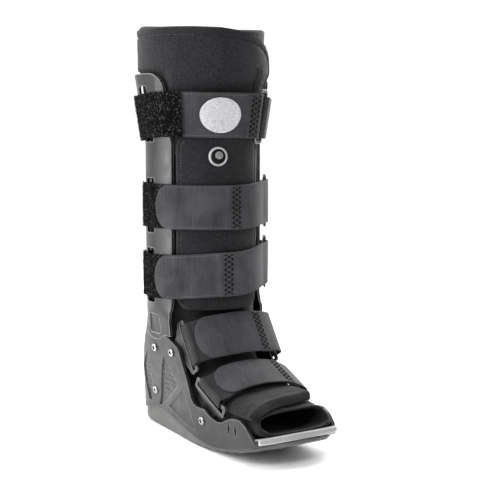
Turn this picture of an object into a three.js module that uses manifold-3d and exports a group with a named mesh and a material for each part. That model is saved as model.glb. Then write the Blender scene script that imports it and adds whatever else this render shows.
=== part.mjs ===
// A tall medical walking boot: rocker outsole, plastic foot shell with two side uprights,
// padded bootie liner, shin pad with an air valve, and five hook and loop straps.
// Millimetres, +Z up, toes towards -Y. The wearer's left is +X. In the functions below t is
// the distance forward of the leg's middle line, so a point (x, t, z) lies at (x, -t, z).
import * as THREE from 'three';
import { mergeVertices } from 'three/addons/utils/BufferGeometryUtils.js';
import Module from 'manifold-3d';

const wasm = await Module();
wasm.setup();

// Clearances and walls
const gap = 0.35;
const shellWall = 3.2;
const uprightWall = 3;
const tongueWall = 2.5;
const linerWall = 6;
const webbing = 1.6;
const pile = 2;
const chafePlate = 2.4;

// Sole and foot
const soleLength = 270.7;
const soleWidth = 99;
const heelWidth = 78;
const heelToLeg = 77.4;
const heelRise = 8.9;
const toeRise = 23.3;
const lipRise = 33;
const treadDepth = 1.8;
const treadPitch = 17;
const treadWidth = 4;
const shellProud = 1.5;
const ankleHeight = 109;

// Leg
const bootHeight = 436;
const legWidth = 126;
const legDepth = 120;
const legCentre = 7;
const ankleTaper = 9;
const ankleWidth = legWidth - ankleTaper;
const legStart = 148;
const linerShow = 53;
const flareLength = 73;
const uprightTop = bootHeight - linerShow;
const flareStart = uprightTop - flareLength;
const topFlare = 11;
const shinPadding = 10.3;
const shinClearance = 5.3;

// Straps
const strapHeight = 46;
const ringHeight = 57;
const ringWidth = 15;
const ringBar = 2.2;
const ringThickness = 2.2;
const rivetRadius = 4.4;
const shankRadius = 2.1;

// Small number helpers
const clamp01 = (v) => Math.min(1, Math.max(0, v));
const smooth = (v) => clamp01(v) ** 2 * (3 - 2 * clamp01(v));
const mix = (a, b, s) => a + (b - a) * s;
const rad = THREE.MathUtils.degToRad;
const signedPower = (v, p) => Math.sign(v) * Math.abs(v) ** p;
const at = (x, t, z) => new THREE.Vector3(x, -t, z);

// Straight-line lookup in a table of [position, value] rows
function lookup(table, position) {
  if (position <= table[0][0]) return table[0][1];
  for (let i = 1; i < table.length; i += 1) {
    const [p0, v0] = table[i - 1];
    const [p1, v1] = table[i];
    if (position <= p1) return mix(v0, v1, (position - p0) / (p1 - p0));
  }
  return table[table.length - 1][1];
}

// Solids from meshes
function solidOf(geometry) {
  const bare = geometry.clone();
  bare.deleteAttribute('normal');
  bare.deleteAttribute('uv');
  const merged = mergeVertices(bare, 1e-4);
  const positions = merged.getAttribute('position').array;
  const triangles = merged.index.array;
  let volume = 0;
  const [a, b, c] = [new THREE.Vector3(), new THREE.Vector3(), new THREE.Vector3()];
  for (let i = 0; i < triangles.length; i += 3) {
    a.fromArray(positions, 3 * triangles[i]);
    b.fromArray(positions, 3 * triangles[i + 1]);
    c.fromArray(positions, 3 * triangles[i + 2]);
    volume += a.dot(b.cross(c));
  }
  const outward = Uint32Array.from(triangles);
  if (volume < 0) {
    for (let i = 0; i < outward.length; i += 3) {
      [outward[i + 1], outward[i + 2]] = [outward[i + 2], outward[i + 1]];
    }
  }
  return new wasm.Manifold(new wasm.Mesh({
    numProp: 3,
    vertProperties: Float32Array.from(positions),
    triVerts: outward,
  }));
}

function geometryOf(solid) {
  const mesh = solid.getMesh();
  const geometry = new THREE.BufferGeometry();
  geometry.setAttribute('position', new THREE.BufferAttribute(Float32Array.from(mesh.vertProperties), 3));
  geometry.setIndex(new THREE.BufferAttribute(Uint32Array.from(mesh.triVerts), 1));
  geometry.computeVertexNormals();
  return geometry;
}

function mirrored(solid) {
  return solidOf(geometryOf(solid).applyMatrix4(new THREE.Matrix4().makeScale(-1, 1, 1)));
}

// Skin over rings of equal point count. ends is 'fan', 'strip' or 'join': a fan closes a flat end,
// a strip closes a ring that is its own mirror image, and join sews the last ring to the first.
function loft(rings, ends = 'fan') {
  const count = rings[0].length;
  const points = rings.flat();
  const triangles = [];
  const steps = ends === 'join' ? rings.length : rings.length - 1;
  for (let r = 0; r < steps; r += 1) {
    const here = r * count;
    const next = ((r + 1) % rings.length) * count;
    for (let i = 0; i < count; i += 1) {
      const j = (i + 1) % count;
      triangles.push(here + i, here + j, next + j, here + i, next + j, next + i);
    }
  }
  const close = (start, flip) => {
    const add = (p, q, r) => triangles.push(...(flip ? [p, r, q] : [p, q, r]));
    if (ends === 'strip') {
      const half = count / 2;
      for (let i = 0; i < half; i += 1) {
        const [p, q] = [start + i, start + i + 1];
        const [s, u] = [start + ((count - i) % count), start + count - i - 1];
        if (i > 0) add(p, s, u);
        if (i < half - 1) add(p, u, q);
      }
    } else {
      const middle = new THREE.Vector3();
      for (let i = 0; i < count; i += 1) middle.add(points[start + i]);
      points.push(middle.divideScalar(count));
      for (let i = 0; i < count; i += 1) add(points.length - 1, start + ((i + 1) % count), start + i);
    }
  };
  if (ends !== 'join') {
    close(0, false);
    close((rings.length - 1) * count, true);
  }
  const geometry = new THREE.BufferGeometry();
  geometry.setAttribute('position', new THREE.Float32BufferAttribute(points.flatMap((p) => p.toArray()), 3));
  geometry.setIndex(triangles);
  return solidOf(geometry);
}

// Prism with its outline in the side view, from one side of the boot to the other
function sidePrism(outline, left = legWidth, right = -legWidth) {
  const shape = new THREE.Shape(outline.map(([t, z]) => new THREE.Vector2(t, z)));
  const geometry = new THREE.ExtrudeGeometry(shape, { depth: left - right, bevelEnabled: false });
  const turn = new THREE.Matrix4().makeBasis(
    new THREE.Vector3(0, -1, 0), new THREE.Vector3(0, 0, 1), new THREE.Vector3(-1, 0, 0));
  return solidOf(geometry.applyMatrix4(turn).translate(left, 0, 0));
}

// Rod across the boot at (t, z), for holes and rivet shanks
function sideRod(t, z, radius, left, right, sides = 12) {
  const turn = (i) => (2 * Math.PI * i) / sides;
  const outline = Array.from({ length: sides }, (_, i) => [t + radius * Math.cos(turn(i)), z + radius * Math.sin(turn(i))]);
  return sidePrism(outline, left, right);
}

// Rounded corner outline of a rectangle in the side view
function roundedBox(t0, z0, t1, z1, radius, steps = 3) {
  const corners = [[t1 - radius, z1 - radius, 0], [t0 + radius, z1 - radius, 90],
    [t0 + radius, z0 + radius, 180], [t1 - radius, z0 + radius, 270]];
  return corners.flatMap(([t, z, start]) => Array.from({ length: steps + 1 }, (_, i) => {
    const turn = rad(start + (90 * i) / steps);
    return [t + radius * Math.cos(turn), z + radius * Math.sin(turn)];
  }));
}

// Foot plan and side lines
const forward = (share) => share * soleLength - heelToLeg;

function soleHalfWidth(t) {
  const wide = smooth((t + heelToLeg - heelWidth / 2) / (0.62 * soleLength - heelWidth / 2));
  return mix(heelWidth, soleWidth, wide) / 2;
}

function rockerHeight(t) {
  const heel = clamp01((forward(0.25) - t) / (0.25 * soleLength));
  const toe = clamp01((t - forward(0.5)) / (0.5 * soleLength));
  return heelRise * heel ** 2 + toeRise * toe ** 2;
}

// Line where the shell meets the outsole: share of the sole's length, share of the lip's height
const seamLine = [[0, 0.42], [0.11, 0.48], [0.21, 0.6], [0.28, 0.58], [0.39, 0.43], [0.5, 0.31],
  [0.56, 0.24], [0.645, 0.165], [0.75, 0.24], [0.85, 0.41], [0.935, 0.64], [1, 0.85]];
const seamHeight = (t) => lipRise * lookup(seamLine, (t + heelToLeg) / soleLength);

// Top of the shell's floor, in the same shares
const floorLine = [[0, 0.72], [0.36, 0.72], [0.5, 0.56], [0.645, 0.4], [0.75, 0.48], [0.85, 0.68],
  [0.94, 0.9], [1, 1.02]];
const floorHeight = (t) => lipRise * lookup(floorLine, (t + heelToLeg) / soleLength);

// Points of a plan outline that is its own mirror image, heel to toe on one side and back
function planOutline({ back, front, rearRound, frontRound, rearPower, frontPower, halfWidth }) {
  const rearSteps = 8;
  const middleSteps = 9;
  const frontSteps = 6;
  const stations = [];
  for (let i = 0; i <= rearSteps; i += 1) {
    stations.push(back + rearRound * (1 - Math.cos((Math.PI / 2) * (i / rearSteps))));
  }
  for (let i = 1; i < middleSteps; i += 1) {
    stations.push(mix(back + rearRound, front - frontRound, i / middleSteps));
  }
  for (let i = frontSteps; i >= 0; i -= 1) {
    stations.push(front - frontRound * (1 - Math.cos((Math.PI / 2) * (i / frontSteps))));
  }
  const side = stations.map((t) => {
    const rear = clamp01(1 - (t - back) / rearRound);
    const toe = clamp01(1 - (front - t) / frontRound);
    const round = (1 - rear ** rearPower) ** (1 / rearPower) * (1 - toe ** frontPower) ** (1 / frontPower);
    return { x: halfWidth(t) * round, t };
  });
  return [...side, ...side.slice(1, -1).reverse().map(({ x, t }) => ({ x: -x, t }))];
}

// Outer face of the shell and the uprights at one height: long D over the sole, ellipse up the leg
function hardHalfWidth(t, z) {
  const low = soleHalfWidth(t) + shellProud;
  const high = mix(ankleWidth, legWidth, smooth((z - ankleHeight) / (legStart - ankleHeight))) / 2;
  return mix(low, Math.max(low, high), smooth((z - lipRise / 2) / (ankleHeight - lipRise / 2)));
}

const flareAt = (z) => topFlare * clamp01((z - flareStart) / (uprightTop - flareStart));

function hardRing(z, inset) {
  const rise = smooth((z - lipRise / 2) / (legStart - lipRise / 2));
  const withdraw = smooth((z - ankleHeight / 2) / (legStart - ankleHeight / 2));
  const flare = flareAt(z);
  const halfDepth = legDepth / 2;
  const outline = planOutline({
    back: mix(-heelToLeg - shellProud, legCentre - halfDepth, rise) + inset - flare,
    front: mix(forward(0.99), legCentre + halfDepth, withdraw) - inset + flare,
    rearRound: mix(heelWidth / 2, halfDepth, rise) - inset + flare,
    frontRound: mix(0.09 * soleLength, halfDepth, withdraw) - inset + flare,
    rearPower: mix(2.3, 2, rise),
    frontPower: mix(3, 2, withdraw),
    halfWidth: (t) => hardHalfWidth(t, z) - inset + flare,
  });
  return outline.map(({ x, t }) => at(x, t, z));
}

const shellLevels = [0, 0.06, 0.2, 0.34, 0.48, 0.62, 0.76, 0.9, 1.02, 1.1].map((share) => share * ankleHeight);
const legLevels = [
  ...[0.86, 0.96, 1.06, 1.16, 1.26].map((share) => share * ankleHeight),
  legStart, flareStart, uprightTop, 1.2 * uprightTop,
];
const hardBody = (levels, inset) => loft(levels.map((z) => hardRing(z, inset)));
const hardSkin = (levels, outer, inner) => hardBody(levels, outer).subtract(hardBody(levels, inner));

// Side view features of the shell: share of the sole's length, share of the ankle's height
const place = ([share, height]) => [forward(share), height * ankleHeight];
const rimLine = [[0.375, 1], [0.425, 0.95], [0.457, 0.915], [0.47, 0.88], [0.49, 0.75], [0.514, 0.58],
  [0.524, 0.45], [0.54, 0.405], [0.56, 0.39], [0.59, 0.39], [0.618, 0.39], [0.642, 0.352],
  [0.668, 0.33], [0.7, 0.315], [0.735, 0.325], [0.785, 0.385], [0.811, 0.405], [0.856, 0.408],
  [0.892, 0.366], [0.922, 0.294], [0.937, 0.235]];
const tabNotch = [[0.18, 1], [0.228, 0.99], [0.245, 0.965], [0.27, 0.945], [0.297, 0.937], [0.32, 0.945],
  [0.342, 0.965], [0.358, 0.99]];
const frontWindow = [[0.343, 0.785], [0.382, 0.69], [0.422, 0.55], [0.418, 0.515], [0.33, 0.36],
  [0.232, 0.225], [0.222, 0.235], [0.25, 0.37], [0.28, 0.52], [0.315, 0.68]];
const rearWindow = [[0.213, 0.785], [0.2, 0.6], [0.18, 0.4], [0.158, 0.235], [0.13, 0.245],
  [0.118, 0.42], [0.128, 0.6], [0.17, 0.72]];
const recessPanel = [[0.458, 0.5], [0.474, 0.475], [0.49, 0.38], [0.535, 0.17], [0.53, 0.14],
  [0.43, 0.185], [0.315, 0.255], [0.325, 0.285]];
const rivetPlaces = {
  a: [0.284, 0.852], b: [0.414, 0.851], c: [0.205, 0.376], d: [0.599, 0.273],
};

// Distance of a point to an outline's nearest side, negative outside
function insideBy(outline, [t, z]) {
  let inside = false;
  let nearest = Infinity;
  outline.forEach(([t0, z0], i) => {
    const [t1, z1] = outline[(i + 1) % outline.length];
    if (z0 > z !== z1 > z && t < t0 + ((z - z0) / (z1 - z0)) * (t1 - t0)) inside = !inside;
    const along = clamp01(((t - t0) * (t1 - t0) + (z - z0) * (z1 - z0)) / ((t1 - t0) ** 2 + (z1 - z0) ** 2));
    nearest = Math.min(nearest, Math.hypot(t - mix(t0, t1, along), z - mix(z0, z1, along)));
  });
  return inside ? nearest : -nearest;
}

const ventRadius = 1.5;
const ventPitch = 6.6;
const ventMargin = 2.4;

function ventHoles(outline) {
  const holes = [];
  const ts = outline.map(([t]) => t);
  const zs = outline.map(([, z]) => z);
  let row = 0;
  for (let z = Math.min(...zs); z < Math.max(...zs); z += ventPitch * Math.sin(Math.PI / 3)) {
    for (let t = Math.min(...ts) + (row % 2) * (ventPitch / 2); t < Math.max(...ts); t += ventPitch) {
      if (insideBy(outline, [t, z]) > ventMargin) {
        holes.push(sideRod(t, z, ventRadius, legWidth, -legWidth, 4));
      }
    }
    row += 1;
  }
  return holes;
}

// Underside of the shell, and the prism between this line moved by lift and a flat limit
const shellBottom = (t) => Math.max(seamHeight(t), rockerHeight(t) + 3) + gap;

function seamPrism(lift, limit) {
  const line = Array.from({ length: 25 }, (_, i) => forward(mix(1.04, -0.04, i / 24)))
    .map((t) => [t, shellBottom(t) + lift]);
  return sidePrism([...line, [forward(-0.04), limit], [forward(1.04), limit]]);
}

// Outsole: rounded at the ground, square-toed where it meets the shell, with cross grooves
function makeOutsole() {
  const outline = (inset, front, frontRound, frontPower) => planOutline({
    back: -heelToLeg + inset,
    front: front - inset,
    rearRound: heelWidth / 2 - inset,
    frontRound: frontRound - inset,
    rearPower: 2.3,
    frontPower,
    halfWidth: (t) => soleHalfWidth(t) - inset,
  });
  const edge = 1.5;
  const ground = outline(edge, forward(1), 0.184 * soleLength, 2.38);
  const wall = outline(0, forward(1), 0.184 * soleLength, 2.38);
  const top = outline(0.5, forward(0.985), 0.09 * soleLength, 3);
  let sole = loft([
    ground.map(({ x, t }) => at(x, t, rockerHeight(t))),
    wall.map(({ x, t }) => at(x, t, rockerHeight(t) + edge)),
    top.map(({ x, t }) => at(x, t, shellBottom(t) + 2)),
  ], 'strip').intersect(seamPrism(-gap, -treadDepth));
  for (let t = forward(0.06); t < forward(0.97); t += treadPitch) {
    const ceiling = rockerHeight(t) + treadDepth;
    const groove = [[t, -treadDepth], [t + treadWidth, -treadDepth], [t + treadWidth, ceiling], [t, ceiling]];
    sole = sole.subtract(sidePrism(groove));
  }
  return sole;
}

// Floor plate of the shell, with its lip at the toes
function makeFloor() {
  const floorPlan = planOutline({
    back: -heelToLeg,
    front: forward(0.985),
    rearRound: heelWidth / 2,
    frontRound: 0.09 * soleLength,
    rearPower: 2.3,
    frontPower: 3,
    halfWidth: soleHalfWidth,
  });
  return loft([
    floorPlan.map(({ x, t }) => at(x, t, shellBottom(t) - 2)),
    floorPlan.map(({ x, t }) => at(x, t, floorHeight(t))),
  ], 'strip');
}

// Foot shell: floor plate, and side walls with rim, windows, recess and keyholes
function makeFootShell() {
  const upper = [[-0.04, 1.0], ...tabNotch, ...rimLine].map(place);
  const wallProfile = sidePrism([...upper, [upper[upper.length - 1][0], 0], [upper[0][0], 0]]);
  const cavityFloor = Array.from({ length: 25 }, (_, i) => forward(mix(1.1, -0.1, i / 24)))
    .map((t) => [t, floorHeight(t) - 1.5]);
  const cavityProfile = sidePrism([...cavityFloor, [forward(-0.1), legStart], [forward(1.1), legStart]]);
  const outer = hardBody(shellLevels, 0);
  const openFront = sidePrism([[forward(0.8), 0], [forward(1.1), 0], [forward(1.1), legStart], [forward(0.8), legStart]],
    soleWidth / 2 + shellProud - shellWall, -(soleWidth / 2 + shellProud - shellWall));
  const hollow = hardBody(shellLevels, shellWall).add(openFront).intersect(cavityProfile);
  let shell = outer.intersect(wallProfile).subtract(hollow).add(makeFloor()).intersect(seamPrism(0, legStart));

  const windowSkin = hardSkin(shellLevels, -1, shellWall / 2);
  const panelSkin = hardSkin(shellLevels, -1, shellWall / 3);
  for (const outline of [frontWindow.map(place), rearWindow.map(place)]) {
    shell = shell.subtract(windowSkin.intersect(sidePrism(outline)));
    shell = wasm.Manifold.difference([shell, ...ventHoles(outline)]);
  }
  shell = shell.subtract(panelSkin.intersect(sidePrism(recessPanel.map(place))));
  for (const share of [0.782, 0.826]) {
    const [t, z] = place([share, 0.3]);
    const keyhole = [[-1.1, 6], [-1.1, 2.4], [-2.3, 0], [-1.1, -2.4], [-1.1, -6], [1.1, -6], [1.1, -2.4],
      [2.3, 0], [1.1, 2.4], [1.1, 6]].map(([dt, dz]) => [t + dt, z + dz]);
    shell = shell.subtract(sidePrism(keyhole));
  }
  return wasm.Manifold.difference([shell, ...Object.values(rivetPlaces).flatMap(rivetBores)]);
}

// Straps on the leg: height of the strap's middle at the wearer's right, front and left, where the
// ring sits, where the return layer ends and where the band's free end lies, in degrees round the
// leg from straight ahead, plus to the wearer's left
const legStraps = {
  top: { heights: [[-90, 0.783], [0, 0.779], [60, 0.772]], ring: 21, stitch: 9, tip: -84, share: 1 },
  mid: { heights: [[-90, 0.564], [0, 0.562], [60, 0.571]], ring: 56, stitch: -7, tip: -80, share: 1 },
  low: { heights: [[-90, 0.394], [0, 0.403], [60, 0.419]], ring: 56, stitch: -15, tip: -82, share: 1 },
};
const strapMiddle = (strap, angle) => bootHeight * lookup(strap.heights, angle);

// Uprights: side plate up the leg, with strap slots, edge bead, and a tongue inside the shell
const uprightFront = 0.41;
const uprightRear = 0.155;
const slotHalfWidth = 10;
const slotHalfHeight = 29;

function makeUpright() {
  const [front, rear] = [forward(uprightFront), forward(uprightRear)];
  const corner = 16;
  const rise = ankleHeight + gap;
  const notch = [...tabNotch, rimLine[0]].map(place).map(([t, z]) => [t, z + gap]);
  const topEdge = roundedBox(rear, rise, front, uprightTop, corner, 5).slice(0, 12);
  const plate = sidePrism([[rear, rise], ...notch, [front, rise], ...topEdge], legWidth, 0);
  let upright = hardSkin(legLevels, 0, uprightWall).intersect(plate);

  const tongueOutline = [[0.225, 1.08], [0.352, 1.08], [0.345, 0.87], [0.262, 0.5], [0.237, 0.33], [0.183, 0.33],
    [0.175, 0.42], [0.21, 0.7]].map(place);
  const tongueSkin = hardSkin(shellLevels, shellWall + gap, shellWall + gap + tongueWall);
  const tongue = tongueSkin.intersect(sidePrism(tongueOutline, legWidth, 0));
  const neck = sidePrism([[forward(0.235), rise + gap], [forward(0.345), rise + gap], [forward(0.345), 1.07 * ankleHeight],
    [forward(0.235), 1.07 * ankleHeight]], legWidth, 0);
  const neckSkin = hardSkin(shellLevels, uprightWall / 2, shellWall + gap + tongueWall);
  upright = upright.add(tongue).add(neckSkin.intersect(neck));

  const window = roundedBox(forward(0.253), 1.005 * ankleHeight, forward(0.34), 1.195 * ankleHeight, 4);
  upright = upright.subtract(hardSkin(legLevels, -1, 1.2).intersect(sidePrism(window, legWidth, 0)));
  for (const strap of Object.values(legStraps)) {
    const z = strapMiddle(strap, -90);
    const slot = roundedBox(-slotHalfWidth, z - slotHalfHeight, slotHalfWidth, z + slotHalfHeight, 2.5, 2);
    upright = upright.subtract(sidePrism(slot, legWidth, 0));
  }
  return wasm.Manifold.difference([upright, rivetBores(rivetPlaces.a)[0], rivetBores(rivetPlaces.c)[0]]);
}

// Seat and direction of a rivet, square to the shell's face
function rivetAxis(spot) {
  const [t, z] = place(spot);
  const slopeT = (hardHalfWidth(t + 2, z) - hardHalfWidth(t - 2, z)) / 4;
  const slopeZ = (hardHalfWidth(t, z + 2) - hardHalfWidth(t, z - 2)) / 4;
  return { face: at(hardHalfWidth(t, z), t, z), out: at(1, -slopeT, -slopeZ).normalize() };
}

function alongAxis(geometry, { face, out }) {
  const turn = new THREE.Quaternion().setFromUnitVectors(new THREE.Vector3(0, 1, 0), out);
  return solidOf(geometry.applyQuaternion(turn).translate(face.x, face.y, face.z));
}

function rivetBores(spot) {
  const bore = alongAxis(new THREE.CylinderGeometry(shankRadius + gap, shankRadius + gap, 24, 10), rivetAxis(spot));
  return [bore, mirrored(bore)];
}

// Rivet: low dome on the shell's face with a shank through the wall and what it holds
function makeRivet(spot) {
  const seat = 1.3 * gap;
  const reach = shellWall + gap + tongueWall - seat;
  const dome = [[0, -reach], [shankRadius, -reach], [shankRadius, seat], [rivetRadius, seat], [rivetRadius, seat + 0.6],
    [0.6 * rivetRadius, seat + 1.6], [0, seat + 1.7]];
  return alongAxis(new THREE.LatheGeometry(dome.map(([r, h]) => new THREE.Vector2(r, h)), 10), rivetAxis(spot));
}

// Liner: sections swept from the leg round the heel to the toes. Each row has the back or bottom
// point, the front or top point, the half width and the roundness of one section. Along the foot
// t is a share of the sole's length; z is a share of the ankle's height.
const coreInset = shellWall + tongueWall + 2 * gap;
// A leg row has its height, its growth to front and back, its spread within the flare, and its lean.
const linerLegRows = [
  [1, 5.4, 12.2, 3], [0.93, 5, 11.3, 2.2], [0.86, 3.4, 9.2, 1.4], [0.715, 0, 0, 0], [0.5, 0, 0, 0], [0.4, 0, 0, 0],
];
const linerFootRows = [
  [0.1, 1.24, 0.503, 1.25, 0.54, 2.1], [0.085, 1.0, 0.53, 1.05, 0.49, 2.1],
  [0.062, 0.78, 0.558, 0.94, 0.45, 2.15], [0.04, 0.5, 0.588, 0.845, 0.42, 2.2],
  [0.042, 0.3, 0.605, 0.8, 0.41, 2.3], [0.13, 0.215, 0.622, 0.765, 0.41, 2.4],
  [0.285, 0.21, 0.652, 0.71, 0.42, 2.5], [0.45, 0.17, 0.7, 0.64, 0.43, 2.6],
  [0.615, 0.125, 0.755, 0.57, 0.435, 2.8], [0.77, 0.15, 0.82, 0.525, 0.435, 3],
  [0.88, 0.22, 0.88, 0.49, 0.435, 3.2], [0.952, 0.28, 0.927, 0.475, 0.43, 3.4],
];

function linerRows() {
  const halfBack = legDepth / 2 - coreInset;
  const halfFront = legDepth / 2 + 2 - shinPadding;
  const leg = linerLegRows.map(([height, grow, spread, lean]) => ({
    back: [legCentre - halfBack - grow + lean / 2, bootHeight * height],
    front: [legCentre + halfFront + grow, bootHeight * height - lean],
    halfWidth: legWidth / 2 - coreInset + spread,
    power: 2,
  }));
  const foot = linerFootRows.map(([backShare, backZ, frontShare, frontZ, half, power]) => ({
    back: [forward(backShare), backZ * ankleHeight],
    front: [forward(frontShare), frontZ * ankleHeight],
    halfWidth: half * (soleWidth + 2 * shellProud),
    power,
  }));
  return [...leg, ...foot];
}

// Catmull-Rom reading of the rows at a fractional row number
function linerSection(rows, position) {
  const i = Math.min(rows.length - 2, Math.floor(position));
  const s = position - i;
  const pick = (k) => rows[Math.min(rows.length - 1, Math.max(0, k))];
  const curve = (read) => {
    const [p, q, r, u] = [pick(i - 1), pick(i), pick(i + 1), pick(i + 2)].map(read);
    return q + 0.5 * s * (r - p + s * (2 * p - 5 * q + 4 * r - u + s * (3 * (q - r) + u - p)));
  };
  return {
    back: [curve((row) => row.back[0]), curve((row) => row.back[1])],
    front: [curve((row) => row.front[0]), curve((row) => row.front[1])],
    halfWidth: curve((row) => row.halfWidth),
    power: curve((row) => row.power),
  };
}

// Point on a liner section, angle 0 at its front or top and plus to the wearer's left
function linerPoint({ back, front, halfWidth, power }, angle, offset) {
  const [dt, dz] = [front[0] - back[0], front[1] - back[1]];
  const length = Math.hypot(dt, dz);
  const across = (halfWidth + offset) * signedPower(Math.sin(rad(angle)), 2 / power);
  const along = (length / 2 + offset) * signedPower(Math.cos(rad(angle)), 2 / power);
  return at(across, (back[0] + front[0]) / 2 + (along * dt) / length, (back[1] + front[1]) / 2 + (along * dz) / length);
}

function makeLiner() {
  const rows = linerRows();
  const positions = [];
  for (let p = 0; p <= rows.length - 1 + 1e-9; p += p > 4 && p < 13 ? 0.5 : 1) positions.push(p);
  const sides = 22;
  const ring = (p, offset) => Array.from({ length: sides },
    (_, i) => linerPoint(linerSection(rows, p), (360 * i) / sides, offset));
  const outer = positions.map((p) => ring(p, 0));
  const inner = positions.map((p) => ring(p, -linerWall)).reverse();
  const below = makeFloor().translate([0, 0, gap]);
  const core = hardBody([...shellLevels.slice(0, -1), ...legLevels.slice(2)], coreInset);
  return loft([...outer, ...inner], 'join').subtract(below).intersect(core);
}

// Upper toe flap: a padded patch over the liner's toes, thin at its rear, thick at its front edge
function makeToeFlap() {
  const rows = linerRows();
  const [first, last] = [12.5, rows.length - 1.25];
  const steps = 8;
  const sides = 12;
  const rings = [];
  for (let k = 0; k <= steps; k += 1) {
    const s = k / steps;
    const skew = (angle) => first + (last - first) * s - 0.9 * s * smooth((angle + 40) / 110);
    const thickness = (angle) => mix(1.2, linerWall, smooth(2 * s)) * (1 + 0.35 * smooth(angle / 40) * s);
    const arc = Array.from({ length: sides + 1 }, (_, i) => mix(-70, 34, i / sides));
    const outer = arc.map((angle) => linerPoint(linerSection(rows, skew(angle)), angle, gap + thickness(angle)));
    const inner = arc.map((angle) => linerPoint(linerSection(rows, skew(angle)), angle, gap));
    rings.push([...outer, ...inner.reverse()]);
  }
  const { centre, out, across } = footFrame(footStraps.toe);
  const edge = centre.clone().addScaledVector(across, 0.5 * footStraps.toe.width + 7 * gap);
  const behind = [[0, 60], [0, -40], [-60, -40], [-60, 60]].map(([a, b]) => {
    const p = edge.clone().addScaledVector(across, a).addScaledVector(out, b);
    return [-p.y, p.z];
  });
  return loft(rings, 'fan').intersect(hardBody(shellLevels, shellWall + gap)).subtract(sidePrism(behind));
}

// Layers on the shin, from the liner's face (share 0) to the straps' inner face (share 1)
function strapBase(angle, z, offset) {
  const halfDepth = legDepth / 2 + (Math.cos(rad(angle)) > 0 ? 2 : 0) + flareAt(z) + offset;
  const halfWidth = hardHalfWidth(legCentre, z) + flareAt(z) + offset;
  return new THREE.Vector2(halfWidth * Math.sin(rad(angle)), legCentre + halfDepth * Math.cos(rad(angle)));
}

function shinLayer(rows, angle, z, share) {
  const drops = linerLegRows.map(([height], row) => [1 - height, row]);
  const position = lookup([...drops, [0.69, drops.length]], 1 - z / bootHeight);
  const section = linerSection(rows, Math.min(position, drops.length - 0.1));
  const halfFront = (section.front[0] - section.back[0]) / 2;
  const middle = (section.front[0] + section.back[0]) / 2;
  const inner = new THREE.Vector2(section.halfWidth * Math.sin(rad(angle)), middle + halfFront * Math.cos(rad(angle)));
  const outer = strapBase(angle, Math.min(z, uprightTop), 0);
  return at(mix(inner.x, outer.x, share), mix(inner.y, outer.y, share), z);
}

// Angle where the shin's layers start, clear of the right upright's front edge
function shinStart() {
  const ahead = (forward(uprightFront) - legCentre) / (legDepth / 2);
  return THREE.MathUtils.radToDeg(Math.asin(Math.min(0.95, ahead))) - 90 + degrees(shinClearance);
}

function shinPatch(levels, shares) {
  const rows = linerRows();
  const sides = 14;
  return loft(levels.map(({ z, from, to }) => {
    const arc = Array.from({ length: sides + 1 }, (_, i) => mix(from, to, i / sides));
    const outer = arc.map((angle) => shinLayer(rows, angle, z, shares[1]));
    const inner = arc.map((angle) => shinLayer(rows, angle, z, shares[0]));
    return [...outer, ...inner.reverse()];
  }), 'fan');
}

// Liner's outer front flap, with its rounded upper corner on the wearer's left
function makeLinerFlap() {
  const corner = [[0.36, 40], [0.39, 46], [0.9, 46], [0.915, 42], [0.93, 34], [0.943, 26], [0.955, 18], [0.967, 8],
    [0.977, -6], [0.983, -20], [0.986, -34]];
  const levels = [0.36, 0.39, 0.5, 0.66, 0.71, 0.735, 0.78, 0.86, 0.9, 0.915, 0.93, 0.943, 0.955, 0.967, 0.977, 0.983, 0.986]
    .map((height) => ({ z: height * bootHeight, from: shinStart(), to: lookup(corner, height) }));
  return shinPatch(levels, [0.1, 0.44]);
}

// Shin pad with rounded corners and a hole for the valve
const valveHeight = 0.683;
const valveAngle = -17.5;
const valveRadius = 10;

function valveFrame() {
  const z = valveHeight * bootHeight;
  const seat = strapBase(valveAngle, z, -0.5);
  const side = strapBase(valveAngle + 1, z, -0.5).sub(strapBase(valveAngle - 1, z, -0.5)).normalize();
  const out = new THREE.Vector3(side.y, side.x, 0);
  return { centre: at(seat.x, seat.y, z), out: new THREE.Vector3(-out.x, -out.y, 0) };
}

function onValve(geometry) {
  const { centre, out } = valveFrame();
  const turn = new THREE.Quaternion().setFromUnitVectors(new THREE.Vector3(0, 1, 0), out);
  return solidOf(geometry.applyQuaternion(turn).translate(centre.x, centre.y, centre.z));
}

function makeShinPad() {
  const bottom = 0.318;
  const top = 0.734;
  const round = 0.035;
  const levels = [];
  for (const share of [0, 0.03, 0.12, 0.3, 0.6, 1]) levels.push(bottom + round * share);
  for (const height of [0.45, 0.5, 0.62, 0.68]) levels.push(height);
  for (const share of [1, 0.6, 0.3, 0.12, 0.03, 0]) levels.push(top - round * share);
  const rows = levels.map((height) => {
    const near = Math.min(1, (height - bottom) / round, (top - height) / round);
    const pull = 13 * (1 - Math.sqrt(1 - (1 - near) ** 2));
    return { z: height * bootHeight, from: shinStart() + pull, to: 33 - pull };
  });
  const bore = onValve(new THREE.CylinderGeometry(valveRadius + gap, valveRadius + gap, 30, 20));
  return shinPatch(rows, [0.58, 0.96]).subtract(bore);
}

function makeValveRing() {
  const section = [[0.7, -3.6], [1, -3.6], [1, 0.6], [0.93, 1.3], [0.8, 1.3], [0.72, 0.4], [0.7, -3.6]];
  return onValve(new THREE.LatheGeometry(section.map(([r, h]) => new THREE.Vector2(r * valveRadius, h)), 24));
}

function makeValveStem() {
  const section = [[0, -4.6], [0.66, -4.6], [0.66, -3.4], [0.45, -3.4], [0.45, 1], [0.38, 1.6], [0, 1.6]];
  return onValve(new THREE.LatheGeometry(section.map(([r, h]) => new THREE.Vector2(r * valveRadius, h)), 18));
}

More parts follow.
